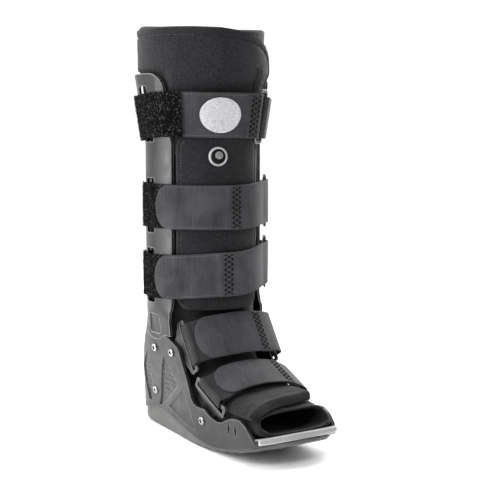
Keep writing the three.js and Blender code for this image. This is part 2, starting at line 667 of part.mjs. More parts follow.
// Ribbon of even thickness through stations: a middle point, the normal, the direction across the
// width and the half width
function ribbon(stations, thickness) {
  const rings = stations.map(({ point, normal, up, half }) => {
    const lift = up.clone().multiplyScalar(half);
    const shift = normal.clone().multiplyScalar(thickness / 2);
    const corner = (a, b) => point.clone().addScaledVector(lift, a).addScaledVector(shift, b);
    return [corner(1, 1), corner(1, -1), corner(-1, -1), corner(-1, 1)];
  });
  return loft(rings);
}

const roundedTip = (distance, length) => Math.sqrt(Math.max(0.05, 1 - (1 - clamp01(distance / length)) ** 2));

// Stations round the leg for [angle, offset] rows, leaning out with the uprights' flare
function legStations(path, z, half) {
  const plan = path.map(([angle, offset]) => strapBase(angle, z(angle), offset));
  return plan.map((spot, i) => {
    const [angle, offset] = path[i];
    const before = plan[Math.max(0, i - 1)];
    const after = plan[Math.min(plan.length - 1, i + 1)];
    const run = after.clone().sub(before).normalize();
    const above = strapBase(angle, z(angle) + 1, offset).sub(spot);
    return {
      point: at(spot.x, spot.y, z(angle)),
      normal: new THREE.Vector3(run.y, run.x, 0),
      up: at(above.x, above.y, 1),
      half: half(i),
    };
  });
}

const legRadius = (legWidth + legDepth) / 4 + 3;
const degrees = (length) => THREE.MathUtils.radToDeg(length / legRadius);

function arcRows(from, to, offsets, step = 8) {
  const count = Math.max(1, Math.round(Math.abs(to - from) / step));
  return Array.from({ length: count + 1 }, (_, i) => {
    const angle = mix(from, to, i / count);
    return [angle, lookup(offsets, angle)];
  });
}

// Half circle between two layers at an angle, ahead (sign 1) or behind (sign -1)
function turnRows(angle, fromOffset, toOffset, sign) {
  const middle = (fromOffset + toOffset) / 2;
  const radius = Math.abs(fromOffset - toOffset) / 2;
  const start = fromOffset > toOffset ? 1 : -1;
  return [20, 45, 70, 90, 110, 135, 160].map((turn) => [
    angle + sign * degrees(radius * Math.sin(rad(turn))),
    middle + start * radius * Math.cos(rad(turn)),
  ]);
}

const innerLayer = gap + webbing / 2;
const ringPlay = 0.85;
const ringMiddle = innerLayer + webbing / 2 + ringPlay + ringThickness / 2;
const outerLayer = ringMiddle + ringThickness / 2 + ringPlay + webbing / 2;
const stackedLayer = innerLayer + webbing + gap;
const uprightMiddle = -uprightWall / 2;
const past = 0.8;
const hug = uprightWall + 2 * gap;
const uprightRearAngle = () => {
  const down = (forward(uprightRear) - legCentre) / (legDepth / 2);
  return 90 + THREE.MathUtils.radToDeg(Math.asin(-down));
};

function makeBand(strap) {
  const ringAt = strap.ring - degrees(past);
  const overPile = gap + pile + gap + webbing / 2;
  const fromTop = strap === legStraps.top;
  const offsets = fromTop
    ? [[-90, innerLayer], [strap.stitch - 6, innerLayer], [strap.stitch, stackedLayer], [ringAt, outerLayer]]
    : [[-58, overPile], [-46, innerLayer], [strap.stitch - 8, innerLayer], [strap.stitch, stackedLayer],
      [ringAt - 16, stackedLayer], [ringAt, outerLayer]];
  const tipLength = 14;
  const tip = fromTop ? [] : [0, 0.08, 0.25, 0.5, 0.75].map((share) => strap.tip + degrees(share * tipLength));
  const body = arcRows(strap.tip + (fromTop ? 0 : degrees(tipLength)), ringAt, offsets, 7);
  const path = [
    ...tip.map((angle) => [angle, lookup(offsets, angle)]),
    ...body,
    ...turnRows(ringAt + degrees(past), outerLayer, innerLayer, 1),
    ...arcRows(ringAt, strap.stitch, [[0, innerLayer]]),
  ];
  const height = strapHeight / 2;
  const half = (i) => (i < tip.length ? height * roundedTip(degreesBack(path[i][0] - strap.tip), tipLength) : height);
  return ribbon(legStations(path, (angle) => strapMiddle(strap, angle), half), webbing);
}

const degreesBack = (angle) => rad(angle) * legRadius;

// Short strap from the ring back over the left upright and round its rear edge
function makeAnchor(strap) {
  const bar = strap.ring + degrees(ringWidth - ringBar);
  const rear = uprightRearAngle();
  const inside = -uprightWall - gap - webbing / 2;
  const lap = Math.min(bar + 22, 92);
  const offsets = [[bar + degrees(past), outerLayer], [bar + 10, stackedLayer], [lap, stackedLayer], [lap + 6, innerLayer]];
  const path = [
    ...arcRows(lap, bar + degrees(past), [[0, innerLayer]]),
    ...turnRows(bar, innerLayer, outerLayer, -1),
    ...arcRows(bar + degrees(past), rear, offsets),
    ...turnRows(rear + degrees(hug), innerLayer, inside, 1),
    ...arcRows(rear, rear - 24, [[0, inside]]),
  ];
  const height = 0.46 * strapHeight;
  return ribbon(legStations(path, (angle) => strapMiddle(strap, angle), () => height), webbing);
}

// Pile pad over the right upright and round its rear edge
function makePad(strap, front, lift) {
  const rear = -uprightRearAngle();
  const outside = gap + pile / 2 + lift;
  const inside = -uprightWall - gap - pile / 2;
  const path = [
    ...arcRows(front, rear, [[rear, gap + pile / 2], [rear + 12, gap + pile / 2], [rear + 26, outside]]),
    ...turnRows(rear - degrees(hug), gap + pile / 2, inside, -1),
    ...arcRows(rear, rear + 24, [[0, inside]]),
  ];
  const height = strapHeight / 2;
  return ribbon(legStations(path, (angle) => strapMiddle(strap, angle), () => height), pile);
}

// Oblong ring in the strap's layer
function ringGeometry() {
  const frame = (width, height, radius) => roundedBox(-width / 2, -height / 2, width / 2, height / 2, radius);
  const bevel = 0.5;
  const outline = (w, h, r) => frame(w, h, r).map(([x, y]) => new THREE.Vector2(x, y));
  const shape = new THREE.Shape(outline(ringWidth - 2 * bevel, ringHeight - 2 * bevel, 3));
  shape.holes.push(new THREE.Path(outline(
    ringWidth - 2 * ringBar + 2 * bevel, ringHeight - 2 * ringBar - 2 + 2 * bevel, 1.5).reverse()));
  const depth = ringThickness - 2 * bevel;
  const geometry = new THREE.ExtrudeGeometry(shape, {
    depth, bevelEnabled: true, bevelThickness: bevel, bevelSize: bevel, bevelSegments: 1 });
  return geometry.translate(0, 0, -depth / 2);
}

function makeRing(strap) {
  const bar = strap.ring + degrees(ringWidth - ringBar);
  const z = strapMiddle(strap, strap.ring);
  const front = strapBase(strap.ring, z, ringMiddle);
  const back = strapBase(bar, z, ringMiddle);
  const run = back.clone().sub(front).normalize();
  const middle = front.clone().add(back).multiplyScalar(0.5);
  const lean = strapBase(strap.ring, z + 1, ringMiddle).sub(front);
  const side = new THREE.Vector3(run.x, -run.y, 0);
  const face = side.clone().cross(at(lean.x, lean.y, 1)).normalize();
  const turn = new THREE.Matrix4().makeBasis(side, face.clone().cross(side), face);
  return solidOf(ringGeometry().applyMatrix4(turn).translate(middle.x, -middle.y, z));
}

// Oval metallic disc on the top band
function makeDisc(strap) {
  const [centre, halfLength, halfHeight, thickness] = [-16.5, 20.5, 18, 0.9];
  const shares = [-1, -0.97, -0.88, -0.74, -0.55, -0.3, 0, 0.3, 0.55, 0.74, 0.88, 0.97, 1];
  const offset = innerLayer + webbing / 2 + gap + thickness / 2;
  const path = shares.map((share) => [centre + degrees(share * halfLength), offset]);
  const half = (i) => halfHeight * Math.sqrt(Math.max(0.03, 1 - shares[i] ** 2));
  return ribbon(legStations(path, (angle) => strapMiddle(strap, angle), half), thickness);
}

// Foot straps: a middle point, the direction across the strap in the side view, the holders' bars
// and the arch over the foot. Lengths are shares of the shell's width.
const footWidth = soleWidth + 2 * shellProud;
const footStraps = {
  ankle: {
    centre: [forward(0.568), 1.046 * ankleHeight], width: 46, slope: 57.4, bar: [0.49, -0.193], drift: 0,
    crest: [[-0.43, -0.056], [-0.3, -0.012], [-0.15, 0.014], [0, 0.024], [0.15, 0.016], [0.3, -0.01], [0.43, -0.054]],
    tip: -0.43, stitch: 0.2, loop: -0.02, rivet: rivetPlaces.b,
  },
  toe: {
    centre: [forward(0.691), 0.727 * ankleHeight], width: 41, slope: 24.7, bar: [0.49, -0.2], drift: 0.07,
    crest: [[-0.43, -0.1], [-0.32, -0.045], [-0.18, -0.012], [0, 0.002], [0.16, -0.004], [0.3, -0.028], [0.43, -0.084]],
    tip: -0.41, stitch: 0.22, loop: -0.08, rivet: rivetPlaces.d,
  },
};

function footFrame(strap) {
  const slope = rad(strap.slope);
  return {
    centre: at(0, strap.centre[0], strap.centre[1]),
    side: new THREE.Vector3(1, 0, 0),
    out: at(0, Math.sin(slope), Math.cos(slope)),
    across: at(0, Math.cos(slope), -Math.sin(slope)),
  };
}

// Stations over the instep from flat [side, out] points in millimetres
function footStations(strap, path, half) {
  const { centre, side, out, across } = footFrame(strap);
  return path.map(([x, n], i) => {
    const [x0, n0] = path[Math.max(0, i - 1)];
    const [x1, n1] = path[Math.min(path.length - 1, i + 1)];
    const length = Math.hypot(x1 - x0, n1 - n0);
    const drift = strap.drift * Math.max(0, x);
    const point = centre.clone().addScaledVector(side, x).addScaledVector(out, n).addScaledVector(across, drift);
    const normal = side.clone().multiplyScalar(-(n1 - n0) / length).addScaledVector(out, (x1 - x0) / length);
    return { point, normal, up: across, half: half(i) };
  });
}

const layerStep = webbing + gap;
const holderFrame = 3.4;
const barClear = chafePlate / 2 + gap + webbing / 2 + 0.3;

// Outer line of a foot strap from one holder's bar over the foot to the other's
function archLine(strap) {
  const [x, n] = strap.bar.map((share) => share * footWidth);
  const crest = strap.crest.map(([a, b]) => [a * footWidth, b * footWidth]);
  const shoulder = mix(crest[0][1], n, 0.42);
  const points = [[-x - barClear, n - 1], [-x - barClear + 0.4, shoulder], ...crest, [x + barClear - 0.4, shoulder],
    [x + barClear, n - 1]];
  const curve = new THREE.CatmullRomCurve3(points.map(([a, b]) => new THREE.Vector3(a, b, 0)), false, 'centripetal');
  return curve.getPoints(34).map((p) => [p.x, p.y]);
}

// The same line moved inward by a depth that depends on the distance from the middle
function underLine(line, depths) {
  return line.map(([x, n], i) => {
    const [x0, n0] = line[Math.max(0, i - 1)];
    const [x1, n1] = line[Math.min(line.length - 1, i + 1)];
    const length = Math.hypot(x1 - x0, n1 - n0);
    const depth = lookup(depths, Math.abs(x));
    return [x + (depth * (n1 - n0)) / length, n - (depth * (x1 - x0)) / length];
  });
}

// Half turn behind a bar, from the outer side to the inner side
function barTurn(strap, sign) {
  const [x, n] = strap.bar.map((share) => share * footWidth);
  return [0, 30, 60, 90, 120, 150, 180].map((turn) => [
    sign * (x + barClear * Math.cos(rad(turn))), n - 1 - barClear * Math.sin(rad(turn))]);
}

function makeFootBand(strap) {
  const bar = strap.bar[0] * footWidth;
  const line = archLine(strap);
  const start = strap.tip * footWidth;
  const upper = line.slice(0, -1).filter(([x]) => x > start);
  const returnDepths = [[0, layerStep], [0.8 * bar, layerStep], [bar, 2 * barClear]];
  const lower = underLine(line, returnDepths).slice(0, -1).filter(([x]) => x > strap.stitch * footWidth).reverse();
  const path = [...upper, ...barTurn(strap, 1), ...lower];
  const tipLength = 0.3 * strap.width;
  const half = (i) => {
    const distance = Math.hypot(path[i][0] - path[0][0], path[i][1] - path[0][1]);
    return (strap.width / 2) * (i < upper.length ? roundedTip(distance, tipLength) : 1);
  };
  return ribbon(footStations(strap, path, half), webbing);
}

function makeFootLoop(strap) {
  const bar = strap.bar[0] * footWidth;
  const line = archLine(strap);
  const outer = underLine(line, [[0, layerStep], [0.86 * bar, layerStep], [bar, 0]]).slice(1)
    .filter(([x]) => x < strap.loop * footWidth).reverse();
  const inner = underLine(line, [[0, 2 * layerStep], [0.8 * bar, 2 * layerStep], [bar, 2 * barClear]]).slice(1)
    .filter(([x]) => x < 1.9 * strap.loop * footWidth - 0.12 * footWidth);
  const path = [...outer, ...barTurn(strap, -1), ...inner];
  return ribbon(footStations(strap, path, () => 0.48 * strap.width), webbing);
}

// Strap holder: slotted bar outside the shell's rim, with a tail that is riveted inside the wall
function makeChafe(strap, sign) {
  const { centre, out, across } = footFrame(strap);
  const [x, n] = strap.bar.map((share) => share * footWidth);
  const drift = sign > 0 ? strap.drift * x : 0;
  const bar = centre.clone().addScaledVector(out, n).addScaledVector(across, drift);
  const [t, z] = place(strap.rivet);
  const toRivet = at(0, t, z).sub(bar);
  const along = toRivet.dot(across);
  const reach = -toRivet.dot(out);
  const halfBar = ringHeight / 2;
  const slot = 5.6;
  const body = slot + 2 * holderFrame;
  const tail = 10;
  const inside = hardHalfWidth(t, z) - shellWall - gap - chafePlate / 2 - 1.1;
  const entry = mix(body, reach, 0.3);
  const rows = [
    [-holderFrame / 2, halfBar - 2, 0, x], [0, halfBar, 0, x], [body - holderFrame, halfBar, 0, x],
    [body - holderFrame / 2, halfBar - 2, 0, mix(x, inside, 0.15)], [entry, tail + 2, 0.9 * along, inside],
    [reach, tail, along, inside], [reach + 0.7 * tail, 0.6 * tail, along, inside],
  ];
  const stations = rows.map(([down, half, shift, across2], i) => {
    const [d0, , , x0] = rows[Math.max(0, i - 1)];
    const [d1, , , x1] = rows[Math.min(rows.length - 1, i + 1)];
    const point = bar.clone().addScaledVector(out, -down).addScaledVector(across, shift);
    point.x = sign * across2;
    const normal = new THREE.Vector3(sign * (d1 - d0), 0, 0).addScaledVector(out, x1 - x0).normalize();
    return { point, normal, up: across, half };
  });
  const inView = (down, shift) => bar.clone().addScaledVector(out, -down).addScaledVector(across, shift);
  const hole = roundedBox(-halfBar + 3, holderFrame / 2, halfBar - 3, holderFrame / 2 + slot, 1.5, 2)
    .map(([shift, down]) => inView(down, shift)).map((p) => [-p.y, p.z]);
  const bore = rivetBores(strap.rivet)[sign > 0 ? 0 : 1];
  return ribbon(stations, chafePlate).subtract(sidePrism(hole)).subtract(bore);
}

// Materials
const finish = (color, roughness, metalness = 0) => ({ color, roughness, metalness });
const finishes = {
  rubber: finish(0x6b6a69, 0.8),
  plastic: finish(0x747475, 0.5),
  foam: finish(0x2f2e34, 0.95),
  webbing: finish(0x505054, 0.85),
  pile: finish(0x141417, 1),
  chafe: finish(0x4a4a4c, 0.4),
  steel: finish(0xc9c9cc, 0.3, 1),
  disc: finish(0xcfcbd2, 0.6),
};

const boot = new THREE.Group();

function addPiece(name, solid, finishName) {
  const mesh = new THREE.Mesh(geometryOf(solid), new THREE.MeshStandardMaterial(finishes[finishName]));
  mesh.name = name;
  boot.add(mesh);
}

addPiece('outsole', makeOutsole(), 'rubber');
addPiece('foot_shell', makeFootShell(), 'plastic');
const upright = makeUpright();
addPiece('upright_left', upright, 'plastic');
addPiece('upright_right', mirrored(upright), 'plastic');

for (const [letter, spot] of Object.entries(rivetPlaces)) {
  const rivet = makeRivet(spot);
  addPiece(`rivet_${letter}_left`, rivet, 'steel');
  addPiece(`rivet_${letter}_right`, mirrored(rivet), 'steel');
}

addPiece('liner', makeLiner(), 'foam');
addPiece('liner_front_flap', makeLinerFlap(), 'foam');
addPiece('liner_toe_flap', makeToeFlap(), 'foam');
addPiece('shin_pad', makeShinPad(), 'foam');
addPiece('valve_ring', makeValveRing(), 'steel');
addPiece('valve_stem', makeValveStem(), 'chafe');

for (const [name, strap] of Object.entries(legStraps)) {
  const onTop = name === 'top';
  addPiece(`strap_${name}_band`, makeBand(strap), 'webbing');
  addPiece(`strap_${name}_ring`, makeRing(strap), 'chafe');
  addPiece(`strap_${name}_anchor`, makeAnchor(strap), 'webbing');
  addPiece(`strap_${name}_pad`, makePad(strap, onTop ? -50 : -62, onTop ? webbing + gap : 0), 'pile');
}
addPiece('strap_top_disc', makeDisc(legStraps.top), 'disc');

for (const [name, strap] of Object.entries(footStraps)) {
  addPiece(`strap_${name}_band`, makeFootBand(strap), 'webbing');
  addPiece(`strap_${name}_loop`, makeFootLoop(strap), 'webbing');
  addPiece(`chafe_${name}_left`, makeChafe(strap, 1), 'chafe');
  addPiece(`chafe_${name}_right`, makeChafe(strap, -1), 'chafe');
}

// The origin is the middle of the boot's box, on the ground
boot.updateMatrixWorld(true);
const box = new THREE.Box3().setFromObject(boot);
const origin = box.getCenter(new THREE.Vector3());
boot.children.forEach((mesh) => mesh.geometry.translate(-origin.x, -origin.y, -box.min.z));

export default boot;
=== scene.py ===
import math
import random

import bmesh
import bpy
import numpy as np
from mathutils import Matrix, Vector, noise


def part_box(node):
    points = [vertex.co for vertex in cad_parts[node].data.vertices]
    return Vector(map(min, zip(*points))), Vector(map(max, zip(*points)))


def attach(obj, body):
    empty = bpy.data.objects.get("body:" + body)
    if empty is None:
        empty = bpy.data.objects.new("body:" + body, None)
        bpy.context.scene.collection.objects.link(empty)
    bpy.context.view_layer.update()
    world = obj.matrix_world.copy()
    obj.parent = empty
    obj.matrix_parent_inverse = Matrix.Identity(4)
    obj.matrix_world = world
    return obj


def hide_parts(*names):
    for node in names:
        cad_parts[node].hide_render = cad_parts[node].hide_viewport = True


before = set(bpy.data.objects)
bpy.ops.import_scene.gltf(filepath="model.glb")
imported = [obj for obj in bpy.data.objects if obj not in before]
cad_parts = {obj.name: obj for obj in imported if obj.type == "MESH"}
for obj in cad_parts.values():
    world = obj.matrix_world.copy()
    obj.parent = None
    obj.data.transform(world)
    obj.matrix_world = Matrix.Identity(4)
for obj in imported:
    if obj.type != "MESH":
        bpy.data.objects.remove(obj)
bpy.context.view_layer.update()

# Sizes of the boot, in millimetres
SOLE_LENGTH = 270.7
SOLE_WIDTH = 99
HEEL_WIDTH = 78
HEEL_TO_LEG = 77.4
LIP_RISE = 33
SHELL_PROUD = 1.5
SHELL_WALL = 3.2
ANKLE_HEIGHT = 109
BOOT_HEIGHT = 436
LEG_WIDTH = 126
LEG_DEPTH = 120
LEG_CENTRE = 7
ANKLE_WIDTH = 117
LEG_START = 148
FLARE_START = 310
UPRIGHT_TOP = 383
TOP_FLARE = 11
UPRIGHT_WALL = 3
TONGUE_WALL = 2.5
SHIN_PADDING = 10.3
GAP = 0.35
LINER_WALL = 6
WEBBING = 1.6
PILE = 2
CHAFE_PLATE = 2.4
STRAP_HEIGHT = 46
RING_WIDTH = 15
RING_BAR = 2.2
RING_THICKNESS = 2.2
RING_PLAY = 0.85
UPRIGHT_REAR = 0.155
VALVE_HEIGHT = 0.683
VALVE_ANGLE = -17.5
VALVE_RADIUS = 10
CORE_INSET = SHELL_WALL + TONGUE_WALL + 2 * GAP

# The camera that the photograph was taken with, in the same directions
CAMERA_X = -658.7
CAMERA_T = 1057.1
CAMERA_Z = 326.5
CAMERA_TURN = 33.93
CAMERA_DROP = 5.56
CAMERA_LENS = 85.95

sole_low, sole_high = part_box("outsole")
SHIFT = np.array([(sole_low.x + sole_high.x) / 2, sole_high.y - HEEL_TO_LEG / 1000, 0])


def clamp01(value):
    return min(1.0, max(0.0, value))


def smooth(value):
    s = clamp01(value)
    return s * s * (3 - 2 * s)


def mix(a, b, share):
    return a + (b - a) * share


def sign_power(value, power):
    return math.copysign(abs(value) ** power, value)


def at(x, t, z):
    """Point of the boot as a vector in millimetres, with y towards the heel."""
    return np.array([x, -t, z], float)


def unit(vector):
    return vector / max(np.linalg.norm(vector), 1e-9)


def lookup(table, position, ease=False):
    if position <= table[0][0]:
        return table[0][1]
    for (p0, v0), (p1, v1) in zip(table, table[1:]):
        if position <= p1:
            share = (position - p0) / (p1 - p0)
            return mix(v0, v1, smooth(share) if ease else share)
    return table[-1][1]


def bell(value, width):
    return math.exp(-((value / width) ** 2))


def lumps(point, size, seed):
    """Soft noise from -1 to 1 at a point in millimetres."""
    return noise.noise(Vector(point) / size + Vector((seed, seed * 1.7, seed * 0.6)))


# Plans and side lines of the sole, shell and leg


def forward(share):
    return share * SOLE_LENGTH - HEEL_TO_LEG


def sole_half_width(t):
    wide = smooth((t + HEEL_TO_LEG - HEEL_WIDTH / 2) / (0.62 * SOLE_LENGTH - HEEL_WIDTH / 2))
    return mix(HEEL_WIDTH, SOLE_WIDTH, wide) / 2


# The shell's floor, as shares of the sole's length and of the lip's rise
FLOOR_LINE = [(0, 0.72), (0.36, 0.72), (0.5, 0.56), (0.645, 0.4), (0.75, 0.48), (0.85, 0.68), (0.94, 0.9),
              (1, 1.02)]


def floor_height(t):
    return LIP_RISE * lookup(FLOOR_LINE, (t + HEEL_TO_LEG) / SOLE_LENGTH)


def hard_half_width(t, z):
    low = sole_half_width(t) + SHELL_PROUD
    high = mix(ANKLE_WIDTH, LEG_WIDTH, smooth((z - ANKLE_HEIGHT) / (LEG_START - ANKLE_HEIGHT))) / 2
    rise = smooth((z - LIP_RISE / 2) / (ANKLE_HEIGHT - LIP_RISE / 2))
    return mix(low, max(low, high), rise)


def flare_at(z):
    return TOP_FLARE * clamp01((z - FLARE_START) / (UPRIGHT_TOP - FLARE_START))


def strap_base(angle, z, offset):
    """Place round the leg on the uprights' outer face, moved outward by an offset."""
    a = math.radians(angle)
    ahead = 2 * smooth(math.cos(a) * 4)
    half_depth = LEG_DEPTH / 2 + ahead + flare_at(z) + offset
    half_width = hard_half_width(LEG_CENTRE, z) + flare_at(z) + offset
    return at(half_width * math.sin(a), LEG_CENTRE + half_depth * math.cos(a), z)


# Rows of the liner. A leg row has its height, its growth to front and back, its spread within the
# flare, and its lean. A foot row has its lower and its upper point, half width and roundness.
LEG_ROWS = [(1, 5.4, 12.2, 3), (0.93, 5, 11.3, 2.2), (0.86, 3.4, 9.2, 1.4), (0.715, 0, 0, 0),
            (0.5, 0, 0, 0), (0.4, 0, 0, 0)]
FOOT_ROWS = [
    (0.1, 1.24, 0.503, 1.25, 0.54, 2.1), (0.085, 1.0, 0.53, 1.05, 0.49, 2.1),
    (0.062, 0.78, 0.558, 0.94, 0.45, 2.15), (0.04, 0.5, 0.588, 0.845, 0.42, 2.2),
    (0.042, 0.3, 0.605, 0.8, 0.41, 2.3), (0.13, 0.215, 0.622, 0.765, 0.41, 2.4),
    (0.285, 0.21, 0.652, 0.71, 0.42, 2.5), (0.45, 0.17, 0.7, 0.64, 0.43, 2.6),
    (0.615, 0.125, 0.755, 0.57, 0.435, 2.8), (0.77, 0.15, 0.82, 0.525, 0.435, 3),
    (0.88, 0.22, 0.88, 0.49, 0.435, 3.2), (0.952, 0.28, 0.927, 0.475, 0.43, 3.4),
]
FOOT_WIDTH = SOLE_WIDTH + 2 * SHELL_PROUD


def liner_rows():
    half_back = LEG_DEPTH / 2 - CORE_INSET
    half_front = LEG_DEPTH / 2 + 2 - SHIN_PADDING
    rows = []
    for height, grow, spread, lean in LEG_ROWS:
        rows.append([LEG_CENTRE - half_back - grow + lean / 2, BOOT_HEIGHT * height,
                     LEG_CENTRE + half_front + grow, BOOT_HEIGHT * height - lean,
                     LEG_WIDTH / 2 - CORE_INSET + spread, 2])
    for back, back_z, front, front_z, half, power in FOOT_ROWS:
        rows.append([forward(back), back_z * ANKLE_HEIGHT, forward(front), front_z * ANKLE_HEIGHT,
                     half * FOOT_WIDTH, power])
    return np.array(rows, float)


LINER_ROWS = liner_rows()
LAST_ROW = len(LINER_ROWS) - 1


def liner_section(position):
    i = min(LAST_ROW - 1, int(position))
    s = position - i
    p, q, r, u = (LINER_ROWS[min(LAST_ROW, max(0, k))] for k in (i - 1, i, i + 1, i + 2))
    return q + 0.5 * s * (r - p + s * (2 * p - 5 * q + 4 * r - u + s * (3 * (q - r) + u - p)))


def liner_point(section, angle, offset):
    back_t, back_z, front_t, front_z, half, power = section
    dt, dz = front_t - back_t, front_z - back_z
    length = math.hypot(dt, dz)
    a = math.radians(angle)
    across = (half + offset) * sign_power(math.sin(a), 2 / power)
    along = (length / 2 + offset) * sign_power(math.cos(a), 2 / power)
    middle_t, middle_z = (back_t + front_t) / 2, (back_z + front_z) / 2
    return at(across, middle_t + along * dt / length, middle_z + along * dz / length)


def row_at_height(z):
    drops = [(1 - row[0], i) for i, row in enumerate(LEG_ROWS)]
    return lookup(drops + [(0.69, len(drops))], 1 - z / BOOT_HEIGHT)


def shin_point(angle, z, share):
    """Between the liner's face, share 0, and the straps' inner face, share 1."""
    back_t, _, front_t, _, half, _ = liner_section(min(row_at_height(z), 5.9))
    a = math.radians(angle)
    inner = at(half * math.sin(a), (front_t + back_t) / 2 + (front_t - back_t) / 2 * math.cos(a), z)
    outer = strap_base(angle, min(z, UPRIGHT_TOP), 0)
    outer[2] = z
    return mix(inner, outer, share)


# Meshes


def link(name, mesh):
    piece = bpy.data.objects.new(name, mesh)
    bpy.context.scene.collection.objects.link(piece)
    return piece


def to_metres(points):
    return np.asarray(points, float) * 0.001 + SHIFT


def mesh_piece(name, points, faces, finish, uvs=None):
    """Smooth-shaded mesh from points in millimetres. uvs are in metres, one for each point."""
    mesh = bpy.data.meshes.new(name)
    mesh.from_pydata(to_metres(points).tolist(), [], faces)
    if uvs is not None:
        layer = mesh.uv_layers.new(name="UVMap")
        corners = np.empty(len(mesh.loops), np.int32)
        mesh.loops.foreach_get("vertex_index", corners)
        layer.data.foreach_set("uv", (np.asarray(uvs, np.float32)[corners] * 0.001).ravel())
    mesh.polygons.foreach_set("use_smooth", [True] * len(mesh.polygons))
    mesh.materials.append(finish)
    piece = link(name, mesh)
    outward(piece)
    return piece


def outward(piece):
    work = bmesh.new()
    work.from_mesh(piece.data)
    bmesh.ops.recalc_face_normals(work, faces=work.faces)
    work.to_mesh(piece.data)
    work.free()


def grid_faces(rows, columns, close_rows=False, close_columns=True, start=0):
    faces = []
    for i in range(rows if close_rows else rows - 1):
        for j in range(columns if close_columns else columns - 1):
            a, b = i * columns, ((i + 1) % rows) * columns
            k = (j + 1) % columns
            faces.append((start + a + j, start + a + k, start + b + k, start + b + j))
    return faces


def tube_faces(rows, columns):
    """Faces of a tube made of rings, with both its ends closed."""
    ends = [tuple(range(columns)), tuple((rows - 1) * columns + j for j in reversed(range(columns)))]
    return grid_faces(rows, columns) + ends


def loft(name, rings, finish, join=False, uvs=None):
    """Tube through rings. join leads the last ring back to the first instead of closing the ends."""
    rings = np.asarray(rings, float)
    rows, columns = rings.shape[:2]
    faces = grid_faces(rows, columns, close_rows=True) if join else tube_faces(rows, columns)
    flat_uvs = None if uvs is None else np.asarray(uvs, float).reshape(-1, 2)
    return mesh_piece(name, rings.reshape(-1, 3), faces, finish, flat_uvs)


def border_faces(rows, columns, count):
    border = list(range(columns + 1)) + [i * (columns + 1) + columns for i in range(1, rows + 1)]
    border += [rows * (columns + 1) + j for j in range(columns - 1, -1, -1)]
    border += [i * (columns + 1) for i in range(rows - 1, 0, -1)]
    return [(a, b, b + count, a + count) for a, b in zip(border, border[1:] + border[:1])]


def closed_layer(name, outer, inner, rows, columns, finish):
    """Layer between an outer and an inner grid of points, closed round its border."""
    count = len(outer)
    faces = grid_faces(rows + 1, columns + 1, close_columns=False)
    faces += [f[::-1] for f in grid_faces(rows + 1, columns + 1, close_columns=False, start=count)]
    faces += border_faces(rows, columns, count)
    return mesh_piece(name, outer + inner, faces, finish)


def apply_modifiers(piece):
    """The piece as a plain mesh with its modifiers used up."""
    graph = bpy.context.evaluated_depsgraph_get()
    made = bpy.data.meshes.new_from_object(piece.evaluated_get(graph), depsgraph=graph)
    piece.modifiers.clear()
    old = piece.data
    piece.data = made
    bpy.data.meshes.remove(old)
    return piece


def subdivided(piece, levels=1):
    modifier = piece.modifiers.new("smooth", "SUBSURF")
    modifier.levels = modifier.render_levels = levels
    return apply_modifiers(piece)


# Straps as stations: middle point, outward normal, direction across the width, half width


def frames_along(points, ups, halves):
    points = np.asarray(points, float)
    stations = []
    for i, point in enumerate(points):
        run = unit(points[min(len(points) - 1, i + 1)] - points[max(0, i - 1)])
        normal = unit(np.cross(ups[i], run))
        stations.append((point, normal, ups[i], halves[i]))
    return stations


EDGE_TURNS = (0.52, 1.05, 1.57, 2.09, 2.62)


def strap_profile(half, thickness, cells):
    """Cross-section as (across, out) points with round edges."""
    radius = thickness / 2
    top = [(mix(-half + radius, half - radius, i / cells), radius) for i in range(cells + 1)]
    side = [(half - radius + radius * math.sin(a), radius * math.cos(a)) for a in EDGE_TURNS]
    return top + side + [(a, -b) for a, b in reversed(top)] + [(-a, b) for a, b in reversed(side)]


def ribbon(name, stations, thickness, finish, cells, lift=None):
    """Strap of even thickness with its length along U and its width along V."""
    rings, uvs = [], []
    length = 0.0
    for i, (point, normal, up, half) in enumerate(stations):
        if i:
            length += np.linalg.norm(point - stations[i - 1][0])
        ring = []
        for across, out in strap_profile(half, thickness, cells):
            push = lift(length, across, out) if lift else 0.0
            ring.append(point + up * across + normal * (out + push))
            uvs.append((length, across))
        rings.append(ring)
    return loft(name, rings, finish, uvs=uvs)


def finer(stations):
    """The same strap with a station between each two."""
    made = [stations[0]]
    for a, b in zip(stations, stations[1:]):
        point, normal, up, half = (mix(p, q, 0.5) for p, q in zip(a, b))
        made += [(point, unit(normal), up, half), b]
    return made


def strap_length(stations):
    points = np.array([s[0] for s in stations])
    return np.concatenate([[0], np.cumsum(np.linalg.norm(np.diff(points, axis=0), axis=1))])


def on_strap(stations, distance, across, out):
    """Point and directions on a strap at a distance along it, in shares of the half width across."""
    lengths = strap_length(stations)
    i = int(np.clip(np.searchsorted(lengths, distance) - 1, 0, len(stations) - 2))
    s = clamp01((distance - lengths[i]) / max(lengths[i + 1] - lengths[i], 1e-6))
    point, normal, up, half = (mix(a, b, s) for a, b in zip(stations[i], stations[i + 1]))
    normal = unit(normal)
    run = unit(stations[i + 1][0] - stations[i][0])
    return point + up * half * across + normal * out, normal, run, up


# Straps round the leg. Angles are in degrees, from straight ahead towards the wearer's left.

